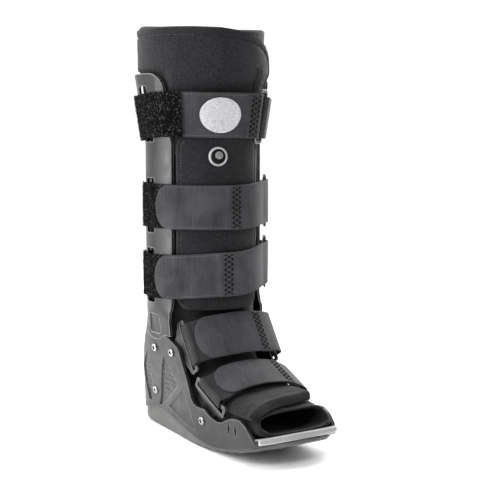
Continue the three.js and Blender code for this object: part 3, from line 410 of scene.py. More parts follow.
LEG_STRAPS = {
    "top": dict(heights=[(-90, 0.783), (0, 0.779), (60, 0.772)], ring=21, stitch=9, tip=-84, droop=5),
    "mid": dict(heights=[(-90, 0.564), (0, 0.562), (60, 0.571)], ring=56, stitch=-7, tip=-80),
    "low": dict(heights=[(-90, 0.394), (0, 0.403), (60, 0.419)], ring=56, stitch=-15, tip=-82),
}
LEG_RADIUS = (LEG_WIDTH + LEG_DEPTH) / 4 + 3
INNER_LAYER = GAP + WEBBING / 2
RING_MIDDLE = INNER_LAYER + WEBBING / 2 + RING_PLAY + RING_THICKNESS / 2
OUTER_LAYER = RING_MIDDLE + RING_THICKNESS / 2 + RING_PLAY + WEBBING / 2
STACKED_LAYER = INNER_LAYER + WEBBING + GAP
PAST = 0.8
HUG = UPRIGHT_WALL + 2 * GAP
REAR_ANGLE = 90 + math.degrees(math.asin((LEG_CENTRE - forward(UPRIGHT_REAR)) / (LEG_DEPTH / 2)))


def degrees_of(length):
    return math.degrees(length / LEG_RADIUS)


def strap_middle(strap, angle):
    droop = strap.get("droop", 0) * smooth((-angle - 55) / 75)
    return BOOT_HEIGHT * lookup(strap["heights"], angle, ease=True) - droop


def arc_rows(start, end, offset, step=2.0):
    count = max(1, round(abs(end - start) / step))
    rows = [mix(start, end, i / count) for i in range(count + 1)]
    return [(angle, offset(angle) if callable(offset) else offset) for angle in rows]


def turn_rows(angle, from_offset, to_offset, side):
    middle = (from_offset + to_offset) / 2
    radius = abs(from_offset - to_offset) / 2
    start = 1 if from_offset > to_offset else -1
    return [(angle + side * degrees_of(radius * math.sin(math.radians(turn))),
             middle + start * radius * math.cos(math.radians(turn))) for turn in range(15, 180, 15)]


def leg_stations(strap, rows, half):
    points, ups, halves = [], [], []
    for i, (angle, offset) in enumerate(rows):
        z = strap_middle(strap, angle)
        points.append(strap_base(angle, z, offset))
        ups.append(strap_base(angle, z + 1, offset) - points[-1])
        halves.append(half(i) if callable(half) else half)
    side = -1 if rows[1][0] > rows[0][0] else 1
    return [(p, side * n, u, h) for p, n, u, h in frames_along(points, ups, halves)]


def rounded_tip(distance, length):
    return math.sqrt(max(0.02, 1 - (1 - clamp01(distance / length)) ** 2))


def band_stations(strap):
    ring_at = strap["ring"] - degrees_of(PAST)
    over_pile = GAP + PILE + GAP + WEBBING / 2
    on_top = strap is LEG_STRAPS["top"]
    start = strap["tip"]
    steps = [(strap["stitch"] - 6, INNER_LAYER), (strap["stitch"], STACKED_LAYER)]
    if on_top:
        table = [(-90, INNER_LAYER), *steps, (ring_at, OUTER_LAYER)]
    else:
        table = [(-60, over_pile), (-46, INNER_LAYER), *steps, (ring_at - 16, STACKED_LAYER),
                 (ring_at, OUTER_LAYER)]
    tip_length = 16
    tip = [] if on_top else [start + degrees_of(tip_length) * (k / 9) ** 2 for k in range(9)]
    body_start = start + (0 if on_top else degrees_of(tip_length))
    rows = [(a, lookup(table, a, True)) for a in tip]
    rows += arc_rows(body_start, ring_at, lambda a: lookup(table, a, True))
    rows += turn_rows(ring_at + degrees_of(PAST), OUTER_LAYER, INNER_LAYER, 1)
    rows += arc_rows(ring_at, strap["stitch"], INNER_LAYER)

    def half(i):
        if i >= len(tip):
            return STRAP_HEIGHT / 2
        return STRAP_HEIGHT / 2 * rounded_tip(math.radians(rows[i][0] - start) * LEG_RADIUS, tip_length)

    return leg_stations(strap, rows, half), rows


def anchor_stations(strap):
    bar = strap["ring"] + degrees_of(RING_WIDTH - RING_BAR)
    inside = -UPRIGHT_WALL - GAP - WEBBING / 2
    lap = min(bar + 22, 92)
    table = [(bar + degrees_of(PAST), OUTER_LAYER), (bar + 10, STACKED_LAYER), (lap, STACKED_LAYER),
             (lap + 6, INNER_LAYER)]
    rows = arc_rows(lap, bar + degrees_of(PAST), INNER_LAYER)
    rows += turn_rows(bar, INNER_LAYER, OUTER_LAYER, -1)
    rows += arc_rows(bar + degrees_of(PAST), REAR_ANGLE, lambda a: lookup(table, a, True))
    rows += turn_rows(REAR_ANGLE + degrees_of(HUG), INNER_LAYER, inside, 1)
    rows += arc_rows(REAR_ANGLE, REAR_ANGLE - 24, inside)
    return leg_stations(strap, rows, 0.46 * STRAP_HEIGHT)


def pad_stations(strap, front, lift):
    rear = -REAR_ANGLE
    near = GAP + PILE / 2
    table = [(rear, near), (rear + 12, near), (rear + 26, near + lift)]
    rows = arc_rows(front, rear, lambda a: lookup(table, a, True))
    rows += turn_rows(rear - degrees_of(HUG), near, -UPRIGHT_WALL - GAP - PILE / 2, -1)
    rows += arc_rows(rear, rear + 24, -UPRIGHT_WALL - GAP - PILE / 2)
    fold = rear - degrees_of(HUG)
    return leg_stations(strap, rows, lambda i: STRAP_HEIGHT / 2 - 1.2 * bell(rows[i][0] - fold, 4))


# Straps over the foot. Bars and crests are in shares of the foot's width.

FOOT_STRAPS = {
    "ankle": dict(
        centre=(forward(0.568), 1.046 * ANKLE_HEIGHT), width=46, slope=57.4, bar=(0.49, -0.193), drift=0,
        crest=[(-0.43, -0.056), (-0.3, -0.012), (-0.15, 0.014), (0, 0.024), (0.15, 0.016), (0.3, -0.01),
               (0.43, -0.054)],
        tip=-0.485, stitch=0.2, loop=-0.02),
    "toe": dict(
        centre=(forward(0.691), 0.727 * ANKLE_HEIGHT), width=41, slope=24.7, bar=(0.49, -0.2), drift=0.07,
        crest=[(-0.43, -0.1), (-0.32, -0.045), (-0.18, -0.012), (0, 0.002), (0.16, -0.004), (0.3, -0.028),
               (0.43, -0.084)],
        tip=-0.45, stitch=0.22, loop=-0.08),
}
LAYER_STEP = WEBBING + GAP
BAR_CLEAR = CHAFE_PLATE / 2 + GAP + WEBBING / 2 + 0.3


def centripetal(points, count):
    """Smooth line through flat points, read at even steps of its knots."""
    pts = np.asarray(points, float)
    pts = np.vstack([2 * pts[0] - pts[1], pts, 2 * pts[-1] - pts[-2]])
    out = []
    spans = len(pts) - 3
    for k in range(count + 1):
        position = min(k * spans / count, spans - 1e-9)
        i = int(position)
        p = pts[i:i + 4]
        knots = [0.0]
        for a, b in zip(p, p[1:]):
            knots.append(knots[-1] + max(np.linalg.norm(b - a), 1e-6) ** 0.5)
        u = mix(knots[1], knots[2], position - i)

        def blend(a, b, ka, kb):
            return a * (kb - u) / (kb - ka) + b * (u - ka) / (kb - ka)

        a1, a2, a3 = (blend(p[j], p[j + 1], knots[j], knots[j + 1]) for j in range(3))
        b1 = blend(a1, a2, knots[0], knots[2])
        b2 = blend(a2, a3, knots[1], knots[3])
        out.append(blend(b1, b2, knots[1], knots[2]))
    return out


def arch_line(strap, count=80):
    bar_x, bar_n = (share * FOOT_WIDTH for share in strap["bar"])
    crest = [(a * FOOT_WIDTH, b * FOOT_WIDTH) for a, b in strap["crest"]]
    shoulder = mix(crest[0][1], bar_n, 0.42)
    ends = [(bar_x + BAR_CLEAR - 0.4, shoulder), (bar_x + BAR_CLEAR, bar_n - 1)]
    return centripetal([(-x, n) for x, n in reversed(ends)] + crest + ends, count)


def under_line(line, table):
    """The line moved inward by depths that the table gives for the distance from the middle."""
    moved = []
    for i, (x, n) in enumerate(line):
        ahead, behind = line[min(len(line) - 1, i + 1)], line[max(0, i - 1)]
        run = unit(np.asarray(ahead) - np.asarray(behind))
        depth = lookup(table, abs(x), True)
        moved.append((x + depth * run[1], n - depth * run[0]))
    return moved


def bar_turn(strap, side):
    """Half turn round a holder's bar, on the wearer's left for side 1 and right for side -1."""
    x, n = (share * FOOT_WIDTH for share in strap["bar"])
    turns = [math.radians(turn) for turn in range(0, 181, 15)]
    return [(side * (x + BAR_CLEAR * math.cos(a)), n - 1 - BAR_CLEAR * math.sin(a)) for a in turns]


def foot_frame(strap):
    slope = math.radians(strap["slope"])
    out = at(0, math.sin(slope), math.cos(slope))
    across = at(0, math.cos(slope), -math.sin(slope))
    return at(0, *strap["centre"]), out, across


def foot_stations(strap, path, half):
    centre, out, across = foot_frame(strap)
    points = [centre + at(x, 0, 0) + out * n + across * strap["drift"] * max(0.0, x) for x, n in path]
    return frames_along(points, [across] * len(points), [half(i) for i in range(len(points))])


def foot_band_stations(strap):
    bar = strap["bar"][0] * FOOT_WIDTH
    line = arch_line(strap)
    start = strap["tip"] * FOOT_WIDTH
    upper = [p for p in line[:-1] if p[0] > start]
    table = [(0, LAYER_STEP), (0.8 * bar, LAYER_STEP), (bar, 2 * BAR_CLEAR)]
    lower = [p for p in under_line(line, table)[:-1] if p[0] > strap["stitch"] * FOOT_WIDTH][::-1]
    fine = [mix(np.array(upper[0]), np.array(upper[1]), k) for k in (0, 0.12, 0.3, 0.6)]
    path = fine + upper[1:] + bar_turn(strap, 1) + lower
    tip_length = 0.36 * strap["width"]

    def half(i):
        distance = math.dist(path[i], path[0])
        return strap["width"] / 2 * (rounded_tip(distance, tip_length) if i < len(upper) else 1)

    return foot_stations(strap, path, half)


def foot_loop_stations(strap):
    bar = strap["bar"][0] * FOOT_WIDTH
    line = arch_line(strap)
    table = [(0, LAYER_STEP), (0.99 * bar, LAYER_STEP), (1.05 * bar, 0)]
    outer = [p for p in under_line(line, table)[1:] if p[0] < strap["loop"] * FOOT_WIDTH][::-1]
    table = [(0, 2 * LAYER_STEP), (0.8 * bar, 2 * LAYER_STEP), (bar, 2 * BAR_CLEAR)]
    limit = (1.9 * strap["loop"] - 0.12) * FOOT_WIDTH
    inner = [p for p in under_line(line, table)[1:] if p[0] < limit]
    path = outer + bar_turn(strap, -1) + inner
    return foot_stations(strap, path, lambda i: 0.48 * strap["width"])


# Material building


class Nodes:
    """Small helper that builds one node tree."""

    def __init__(self, tree):
        self.tree = tree

    def add(self, kind, _inputs=None, **settings):
        node = self.tree.nodes.new(kind)
        for key, value in settings.items():
            setattr(node, key, value)
        for key, value in (_inputs or {}).items():
            self.set(node, key, value)
        return node

    def set(self, node, key, value):
        socket = node.inputs[key]
        if isinstance(value, bpy.types.NodeSocket):
            self.tree.links.new(value, socket)
        else:
            socket.default_value = value

    def math(self, operation, a, b=0.5):
        return self.add("ShaderNodeMath", {0: a, 1: b}, operation=operation).outputs[0]

    def ramp(self, value, low, high, to_low=0.0, to_high=1.0):
        return self.add("ShaderNodeMapRange", {"Value": value, "From Min": low, "From Max": high,
                                               "To Min": to_low, "To Max": to_high}).outputs[0]

    def colour(self, share, a, b, blend="MIX"):
        node = self.add("ShaderNodeMix", {0: share, 6: a, 7: b}, data_type="RGBA", blend_type=blend)
        return node.outputs[2]

    def noise(self, where, scale, detail=3.0, roughness=0.55):
        return self.add("ShaderNodeTexNoise", {"Vector": where, "Scale": scale, "Detail": detail,
                                               "Roughness": roughness}).outputs[0]

    def mottled(self, where, scale, detail, dark, light):
        return self.colour(self.ramp(self.noise(where, scale, detail), 0.3, 0.7), dark, light)

    def part(self, vector, axis):
        return self.add("ShaderNodeSeparateXYZ", {0: vector}).outputs[axis]

    def bump(self, height, strength, distance, normal=None):
        inputs = {"Height": height, "Strength": strength, "Distance": distance}
        if normal is not None:
            inputs["Normal"] = normal
        return self.add("ShaderNodeBump", inputs).outputs[0]


def node_group(kind, name, inputs, outputs):
    """Node group with sockets named by label and kind of value, with its builder and its inputs."""
    tree = bpy.data.node_groups.new(name, kind)
    for way, sockets in (("INPUT", inputs), ("OUTPUT", outputs)):
        for label, value in sockets.items():
            tree.interface.new_socket(label, in_out=way, socket_type="NodeSocket" + value)
    nodes = Nodes(tree)
    return tree, nodes, nodes.add("NodeGroupInput").outputs


def surface_group(name, colours, numbers, outputs):
    inputs = {"Where": "Vector", **dict.fromkeys(colours, "Color"), **dict.fromkeys(numbers, "Float")}
    kinds = {"Colour": "Color", "Roughness": "Float", "Normal": "Vector"}
    return node_group("ShaderNodeTree", name, inputs, {label: kinds[label] for label in outputs})


def painted_occlusion_shade():
    """Painted shade: darkens a colour by ambient occlusion where other parts stand close."""
    tree, nodes, given = node_group(
        "ShaderNodeTree", "painted_shade_near_parts", {"Colour": "Color", "Distance": "Float", "Darkest": "Float"},
        {"Colour": "Color"})
    near = nodes.add("ShaderNodeAmbientOcclusion", {"Distance": given["Distance"]}, samples=6).outputs["AO"]
    level = nodes.ramp(near, 0.15, 0.9, given["Darkest"], 1)
    shade = nodes.add("ShaderNodeCombineColor", {0: level, 1: level, 2: level}).outputs[0]
    nodes.add("NodeGroupOutput", {"Colour": nodes.colour(1.0, given["Colour"], shade, "MULTIPLY")})
    return tree


def plastic_surface():
    """Fine moulded grain, soft mottling and a painted highlight along rounded edges."""
    tree, nodes, given = surface_group("plastic_surface", ("Dark", "Light", "Pale"), ("Gloss", "Grain"),
                                       ("Colour", "Roughness", "Normal"))
    where = given["Where"]
    edge = nodes.add("ShaderNodeBevel", {"Radius": 0.0015}, samples=8).outputs[0]
    plain = nodes.add("ShaderNodeNewGeometry").outputs["Normal"]
    facing = nodes.add("ShaderNodeVectorMath", {0: edge, 1: plain}, operation="DOT_PRODUCT").outputs["Value"]
    # Painted highlight: rounded edges, found by the bevel normal, are mixed towards the pale colour.
    edge_highlight = nodes.math("MULTIPLY", nodes.ramp(facing, 0.985, 0.86), 0.8)
    base = nodes.mottled(where, 38, 4, given["Dark"], given["Light"])
    smoothest = nodes.math("SUBTRACT", given["Gloss"], 0.06)
    roughest = nodes.math("ADD", given["Gloss"], 0.1)
    nodes.add("NodeGroupOutput", {
        "Colour": nodes.colour(edge_highlight, base, given["Pale"]),
        "Roughness": nodes.ramp(nodes.noise(where, 90, 3), 0.3, 0.7, smoothest, roughest),
        "Normal": nodes.bump(nodes.noise(where, 2600, 2), given["Grain"], 0.0001, edge)})
    return tree


def foam_surface():
    """Brushed loop fabric on foam: fine nap, dark patches in the nap, small pale fibres, and painted shade
    towards the foot.
    """
    tree, nodes, given = surface_group("foam_surface", ("Dark", "Light", "Shade", "Pale", "Foot"), ("Nap",),
                                       ("Colour", "Normal"))
    where = given["Where"]
    nap_fine = nodes.noise(where, 1500, 3, 0.7)
    nap_wide = nodes.noise(where, 420, 3, 0.6)
    pale = nodes.math("MULTIPLY", given["Nap"], 0.35)
    fibre = nodes.math("MULTIPLY", nodes.ramp(nap_fine, 0.62, 0.78), pale)
    base = nodes.mottled(where, 26, 3, given["Dark"], given["Light"])
    base = nodes.colour(nodes.ramp(nap_wide, 0.42, 0.6, 0, 0.6), base, given["Shade"])
    base = nodes.colour(fibre, base, given["Pale"])
    # Painted shade: darker towards the floor, below 0.15 m, where the foot part of the liner lies in shade.
    base = nodes.colour(nodes.ramp(nodes.part(where, 2), 0.15, 0.04, 0, 0.45), base, given["Foot"])
    height = nodes.math("ADD", nodes.math("MULTIPLY", nap_fine, 0.5), nap_wide)
    strength = nodes.math("MULTIPLY", given["Nap"], 0.7)
    nodes.add("NodeGroupOutput", {"Colour": base, "Normal": nodes.bump(height, strength, 0.0006)})
    return tree


def webbing_surface():
    """Short nap with fine wavering ribs across the strap, whose length runs along U."""
    tree, nodes, given = surface_group("webbing_surface", ("Dark", "Light", "Shade", "Pale"), (),
                                       ("Colour", "Normal"))
    uv = nodes.add("ShaderNodeUVMap", uv_map="UVMap").outputs[0]
    waver = nodes.math("MULTIPLY", nodes.noise(uv, 60, 2), 0.0035)
    along = nodes.math("ADD", nodes.part(uv, 0), waver)
    rib = nodes.math("SINE", nodes.math("MULTIPLY", along, 2 * math.pi / 0.00105), 0)
    row = nodes.math("SINE", nodes.math("MULTIPLY", nodes.part(uv, 1), 2 * math.pi / 0.0008), 0)
    fuzz = nodes.noise(uv, 900, 4, 0.75)
    stretched = nodes.add("ShaderNodeMapping", {"Vector": uv, "Scale": (700, 26, 1)}).outputs[0]
    streak = nodes.math("MULTIPLY", nodes.noise(stretched, 1, 3, 0.5), 0.35)
    cloud = nodes.math("MULTIPLY", nodes.noise(given["Where"], 30, 3), 0.65)
    tone = nodes.ramp(nodes.math("ADD", streak, cloud), 0.38, 0.62)
    base = nodes.colour(tone, given["Dark"], given["Light"])
    base = nodes.colour(nodes.ramp(rib, -1, 1, 0.28, 0), base, given["Shade"])
    base = nodes.colour(nodes.ramp(fuzz, 0.54, 0.7, 0, 0.5), base, given["Pale"])
    height = nodes.math("ADD", nodes.math("MULTIPLY", rib, 0.35), nodes.math("MULTIPLY", row, 0.12))
    height = nodes.math("ADD", height, fuzz)
    nodes.add("NodeGroupOutput", {"Colour": base, "Normal": nodes.bump(height, 0.55, 0.00035)})
    return tree


def even_surface():
    """Slight variation of colour and gloss, for thread, metal and small parts."""
    tree, nodes, given = surface_group("even_surface", ("Dark", "Light"), ("Gloss",),
                                       ("Colour", "Roughness", "Normal"))
    where = given["Where"]
    smoothest = nodes.math("MULTIPLY", given["Gloss"], 0.8)
    roughest = nodes.math("MULTIPLY", given["Gloss"], 1.2)
    nodes.add("NodeGroupOutput", {
        "Colour": nodes.colour(nodes.noise(where, 130, 3), given["Dark"], given["Light"]),
        "Roughness": nodes.ramp(nodes.noise(where, 420, 2), 0.3, 0.7, smoothest, roughest),
        "Normal": nodes.bump(nodes.noise(where, 1800, 2), 0.12, 0.00008)})
    return tree


# Painted shade near other parts, shared by the plastic, foam and webbing finishes.
PAINTED_OCCLUSION_SHADE = painted_occlusion_shade()
PLASTIC = plastic_surface()
FOAM = foam_surface()
WEAVE = webbing_surface()
EVEN = even_surface()


def grey(value, tint=0.0):
    """Linear colour from a screen grey of 0 to 255, a little blue for a positive tint."""
    level = (value / 255) ** 2.2
    return (level * (1 - tint * 0.5), level * (1 - tint * 0.5), level * (1 + tint), 1)


def material(name, roughness, specular=0.5, sheen=0.0, sheen_roughness=0.4, metallic=0.0):
    """New material with its node builder, its shader and its Object coordinates."""
    made = bpy.data.materials.new(name)
    made.use_nodes = True
    nodes = Nodes(made.node_tree)
    shader = made.node_tree.nodes["Principled BSDF"]
    for label, value in (("Roughness", roughness), ("Metallic", metallic), ("Specular IOR Level", specular),
                         ("Sheen Weight", sheen), ("Sheen Roughness", sheen_roughness)):
        nodes.set(shader, label, value)
    return made, nodes, shader, nodes.add("ShaderNodeTexCoord").outputs["Object"]


def dressed(parts, surface, values, painted_shade=None):
    """The material with a surface group and its own values. The last argument gives painted shade: how far
    off other parts darken it, and how dark it gets."""
    made, nodes, shader, where = parts
    group = nodes.add("ShaderNodeGroup", {"Where": where, **values}, node_tree=surface)
    colour = group.outputs["Colour"]
    if painted_shade:
        inputs = {"Colour": colour, "Distance": painted_shade[0], "Darkest": painted_shade[1]}
        colour = nodes.add("ShaderNodeGroup", inputs, node_tree=PAINTED_OCCLUSION_SHADE).outputs["Colour"]
    nodes.set(shader, "Base Color", colour)
    for output in list(group.outputs)[1:]:
        nodes.set(shader, output.name, output)
    return made


def moulded_plastic(name, dark, light, roughness=0.42, grain=0.25, edge_highlight_lift=85):
    # Pale is a painted highlight colour for the rounded edges, lighter than Light by the given amount.
    values = {"Dark": grey(dark, 0.02), "Light": grey(light, 0.02), "Pale": grey(light + edge_highlight_lift, 0.02),
              "Gloss": roughness, "Grain": grain}
    return dressed(material(name, roughness), PLASTIC, values, painted_shade=(0.009, 0.3))


def foam_fabric(name, dark, light, nap=1.0, sheen=0.12):
    values = {"Dark": grey(dark, 0.1), "Light": grey(light, 0.1), "Shade": grey(dark * 0.6, 0.1),
              "Pale": grey(light + 55, 0.06), "Foot": grey(dark * 0.4, 0.1), "Nap": nap}
    parts = material(name, 0.95, specular=0.18, sheen=sheen, sheen_roughness=0.5)
    return dressed(parts, FOAM, values, painted_shade=(0.028, 0.12))


def ribbed_webbing(name, dark, light):
    values = {"Dark": grey(dark, 0.07), "Light": grey(light, 0.07), "Shade": grey(dark * 0.55, 0.07),
              "Pale": grey(light + 45, 0.05)}
    parts = material(name, 0.8, specular=0.3, sheen=0.1, sheen_roughness=0.35)
    return dressed(parts, WEAVE, values, painted_shade=(0.008, 0.4))


def plain_finish(name, level, roughness, metallic=0.0, specular=0.5):
    values = {"Dark": grey(level * 0.86, 0.02), "Light": grey(min(255, level * 1.1), 0.02),
              "Gloss": roughness}
    return dressed(material(name, roughness, specular=specular, metallic=metallic), EVEN, values)


def loop_pile(name):
    """Black fuzzy loops with pale flecks where fibres catch the light."""
    made, nodes, shader, where = material(name, 1.0, specular=0.06, sheen=0.02, sheen_roughness=0.6)
    clump = nodes.add("ShaderNodeTexVoronoi", {"Vector": where, "Scale": 620}).outputs[0]
    fleck = nodes.noise(where, 470, 4, 0.75)
    base = nodes.colour(nodes.ramp(clump, 0.1, 0.75), grey(15, 0.08), grey(2, 0.08))
    base = nodes.colour(nodes.ramp(fleck, 0.55, 0.66, 0, 0.85), base, grey(104, 0.05))
    nodes.set(shader, "Base Color", base)
    nodes.set(shader, "Normal", nodes.bump(nodes.math("ADD", clump, fleck), 1.0, 0.0012))
    return made


def flecked_felt(name):
    """Pale silvery felt disc with small dark flecks."""
    made, nodes, shader, where = material(name, 0.7, specular=0.4, sheen=0.1)
    fine = nodes.noise(where, 900, 4, 0.8)
    wide = nodes.noise(where, 420, 3, 0.7)
    base = nodes.colour(nodes.ramp(fine, 0.38, 0.6), grey(150, 0.03), grey(205, 0.03))
    base = nodes.colour(nodes.ramp(wide, 0.58, 0.7, 0, 0.6), base, grey(112, 0.04))
    nodes.set(shader, "Base Color", base)
    nodes.set(shader, "Normal", nodes.bump(fine, 0.6, 0.0004))
    return made


def sole_rubber(name):
    """Warm grey rubber, darker in patches towards the ground."""
    made, nodes, shader, where = material(name, 0.62, specular=0.4)
    low = nodes.ramp(nodes.part(where, 2), 0.012, 0.0)
    darker_low_patches = nodes.math("MULTIPLY", low, nodes.ramp(nodes.noise(where, 300, 4), 0.4, 0.7))
    base = nodes.mottled(where, 60, 4, grey(80, -0.02), grey(94, -0.02))
    base = nodes.colour(nodes.math("MULTIPLY", darker_low_patches, 0.35), base, grey(72, -0.02))
    edge = nodes.add("ShaderNodeBevel", {"Radius": 0.0012}, samples=6).outputs[0]
    nodes.set(shader, "Base Color", base)
    nodes.set(shader, "Normal", nodes.bump(nodes.noise(where, 2200, 2), 0.25, 0.0001, edge))
    return made


# Finishes, with their darkest and lightest screen greys
SHELL = moulded_plastic("shell_plastic", 27, 39)
UPRIGHT = moulded_plastic("upright_plastic", 12, 22, 0.38, edge_highlight_lift=150)
HOLDER = moulded_plastic("holder_plastic", 38, 50, 0.3)
STRIP = moulded_plastic("lip_strip_plastic", 132, 148, 0.55, 0.5)
SOLE = sole_rubber("sole_rubber")
LINER = foam_fabric("liner_fabric", 36, 46)
SHIN = foam_fabric("shin_pad_fabric", 30, 40, 0.8)
TOE = foam_fabric("toe_flap_fabric", 25, 45, 1.5, 0.08)
BAND = ribbed_webbing("strap_webbing", 42, 66)
# Darker copy of the strap webbing for the loops lying under the bands: painted shade.
LOOP_PAINTED_SHADE = ribbed_webbing("loop_webbing_painted_shade", 28, 42)
PILE_LOOPS = loop_pile("loop_pile")
THREAD = plain_finish("black_thread", 5, 0.85, specular=0.08)
GREY_THREAD = plain_finish("grey_thread", 92, 0.6)
STEEL = plain_finish("bright_rivet", 176, 0.16, 1.0)
# Dark metal inside each rivet's hole: painted shade.
RIVET_HOLE_SHADE = plain_finish("rivet_hole_painted_shade", 40, 0.35, 1.0)
VALVE = plain_finish("valve_grey", 158, 0.3)
CUP = plain_finish("valve_cup", 12, 0.5)
PLUG = plain_finish("valve_plug_grey", 112, 0.4)
DISC = flecked_felt("disc_felt")


# Stitches and fibres by Geometry Nodes


def geometry_group(name, size_label):
    """Geometry Nodes tree with one named size, its builder and inputs, and the size's identifier."""
    inputs = {"Geometry": "Geometry", size_label: "Float"}
    tree, nodes, given = node_group("GeometryNodeTree", name, inputs, {"Geometry": "Geometry"})
    return tree, nodes, given, given[size_label].identifier


def scatter_tree(unit_piece, finish):
    """Places a copy of the unit piece at every point, turned by its attributes, as one real mesh."""
    tree, nodes, given, size = geometry_group("stitches_on_points", "Size")
    run, out, stretch = (
        nodes.add("GeometryNodeInputNamedAttribute", {"Name": label}, data_type="FLOAT_VECTOR").outputs[0]
        for label in ("run", "out", "stretch"))
    align = "FunctionNodeAlignRotationToVector"
    first = nodes.add(align, {"Vector": run}, axis="X").outputs[0]
    both = nodes.add(align, {"Rotation": first, "Vector": out}, axis="Z", pivot_axis="X").outputs[0]
    shape = nodes.add("GeometryNodeObjectInfo", {"Object": unit_piece, "As Instance": True})
    scale = nodes.add("ShaderNodeVectorMath", {0: stretch, "Scale": given["Size"]}, operation="SCALE")
    copies = nodes.add("GeometryNodeInstanceOnPoints", {
        "Points": given["Geometry"], "Instance": shape.outputs["Geometry"], "Rotation": both,
        "Scale": scale.outputs[0]}).outputs[0]
    real = nodes.add("GeometryNodeRealizeInstances", {"Geometry": copies}).outputs[0]
    coated = nodes.add("GeometryNodeSetMaterial", {"Geometry": real, "Material": finish}).outputs[0]
    nodes.add("NodeGroupOutput", {0: coated})
    return tree, size


def scattered(name, spots, unit_piece, finish):
    """One mesh of unit pieces. spots are rows of point, run, out and stretch, all in millimetres."""
    points, runs, outs, stretches = (np.array(column, float) for column in zip(*spots))
    mesh = bpy.data.meshes.new(name)
    mesh.from_pydata(to_metres(points).tolist(), [], [])
    for label, values in (("run", runs), ("out", outs), ("stretch", stretches)):
        layer = mesh.attributes.new(label, "FLOAT_VECTOR", "POINT")
        layer.data.foreach_set("vector", values.astype(np.float32).ravel())
    piece = link(name, mesh)
    tree, size = scatter_tree(unit_piece, finish)
    modifier = piece.modifiers.new("stitches", "NODES")
    modifier.node_group = tree
    modifier[size] = 0.001
    apply_modifiers(piece)
    piece.data.polygons.foreach_set("use_smooth", [True] * len(piece.data.polygons))
    bpy.data.node_groups.remove(tree)
    return piece


def unit_piece(name, points, faces):
    """Small shape kept outside the scene, for a tree to copy."""
    mesh = bpy.data.meshes.new(name)
    mesh.from_pydata(points, [], faces)
    return bpy.data.objects.new(name, mesh)


def unit_stitch():
    """Plump thread dash, one unit long, with its ends tucked down."""
    rings, sides = 7, 6
    points = []
    for i in range(rings):
        s = i / (rings - 1)
        radius = 0.5 * math.sqrt(max(0.02, 1 - (2 * s - 1) ** 4))
        for j in range(sides):
            a = 2 * math.pi * j / sides
            points.append((s - 0.5, radius * math.cos(a), radius * math.sin(a) - 0.5 * (2 * s - 1) ** 4))
    return unit_piece("thread_dash", points, tube_faces(rings, sides))


def unit_fibre():
    """Thin bent fibre that stands along Z, one unit tall."""
    points = []
    for lean, height, radius in ((0, 0, 0.5), (0.12, 0.5, 0.4), (0.4, 1.0, 0.12)):
        for j in range(3):
            a = 2 * math.pi * j / 3
            points.append((lean + 0.09 * radius * math.cos(a), 0.09 * radius * math.sin(a), height))
    return unit_piece("fuzz_fibre", points, grid_faces(3, 3))


DASH = unit_stitch()
FIBRE = unit_fibre()
DASH_FILL = 0.92
CROSS_PITCH = 3.9
CROSS_WIDTH = 1.05
CROSS_REACH = 0.92
CROSS_LIFT = 0.35
FIBRE_COUNT = 3600
FIBRE_HEIGHT = 1.5
FIBRE_REACH = 0.64


def seam(spots, line, pitch, width):
    """Thread dashes along a line of (point, normal) ends, straight from each end to the next."""
    for (p0, n0), (p1, n1) in zip(line, line[1:]):
        length = np.linalg.norm(p1 - p0)
        count = max(1, round(length / pitch))
        stretch = (length / count * DASH_FILL, width, width)
        for i in range(count):
            s = (i + 0.5) / count
            spots.append((mix(p0, p1, s), unit(p1 - p0), unit(mix(n0, n1, s)), stretch))


def zigzag(spots, stations, start, width, rows=8):
    """Crossed stitching on a strap: two zigzags over the whole height."""
    for phase in (0, 1):
        corners = []
        for i in range(rows + 1):
            across = mix(-CROSS_REACH, CROSS_REACH, i / rows)
            distance = start + width * ((i + phase) % 2)
            corners.append(on_strap(stations, distance, across, WEBBING / 2 + CROSS_LIFT)[:2])
        seam(spots, corners, CROSS_PITCH, CROSS_WIDTH)


def fuzz(spots, stations, seed):
    """Random fibres over a pile pad's outer face and edges."""
    chance = random.Random(seed)
    total = strap_length(stations)[-1]
    for _ in range(FIBRE_COUNT):
        distance = total * mix(0, FIBRE_REACH, chance.random())
        across = chance.uniform(-1, 1)
        point, normal, run, up = on_strap(stations, distance, across, PILE / 2 - 0.2)
        tilt = normal + 0.7 * (chance.random() - 0.5) * run + 0.7 * (chance.random() - 0.5) * unit(up)
        if abs(across) > 0.93:
            tilt = tilt + unit(up) * math.copysign(1.0, across)
        tall = FIBRE_HEIGHT * chance.uniform(0.5, 1.1)
        around = unit(np.cross(tilt, at(chance.random(), chance.random(), chance.random())))
        spots.append((point, around, unit(tilt), (3.2, 5.5, tall)))


# Pieces are kept here until each is given its body
made_pieces = []


def keep(piece, slot, *nodes):
    if nodes:
        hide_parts(*nodes)
    made_pieces.append(piece)
    return piece


# Liner

STRAP_LEVELS = [0.779, 0.563, 0.405]


def puff(z):
    """Foam swells between the straps and is pressed in under them."""
    squeeze = sum(bell(z - level * BOOT_HEIGHT, 24) for level in STRAP_LEVELS)
    return 1 - min(1.0, squeeze)


def top_drop(angle):
    """How far the liner's top edge lies below the boot's height, least at the back and left."""
    a = math.radians(angle)
    return 2.8 + 2.6 * math.cos(a) - 2.4 * max(0.0, math.sin(a))


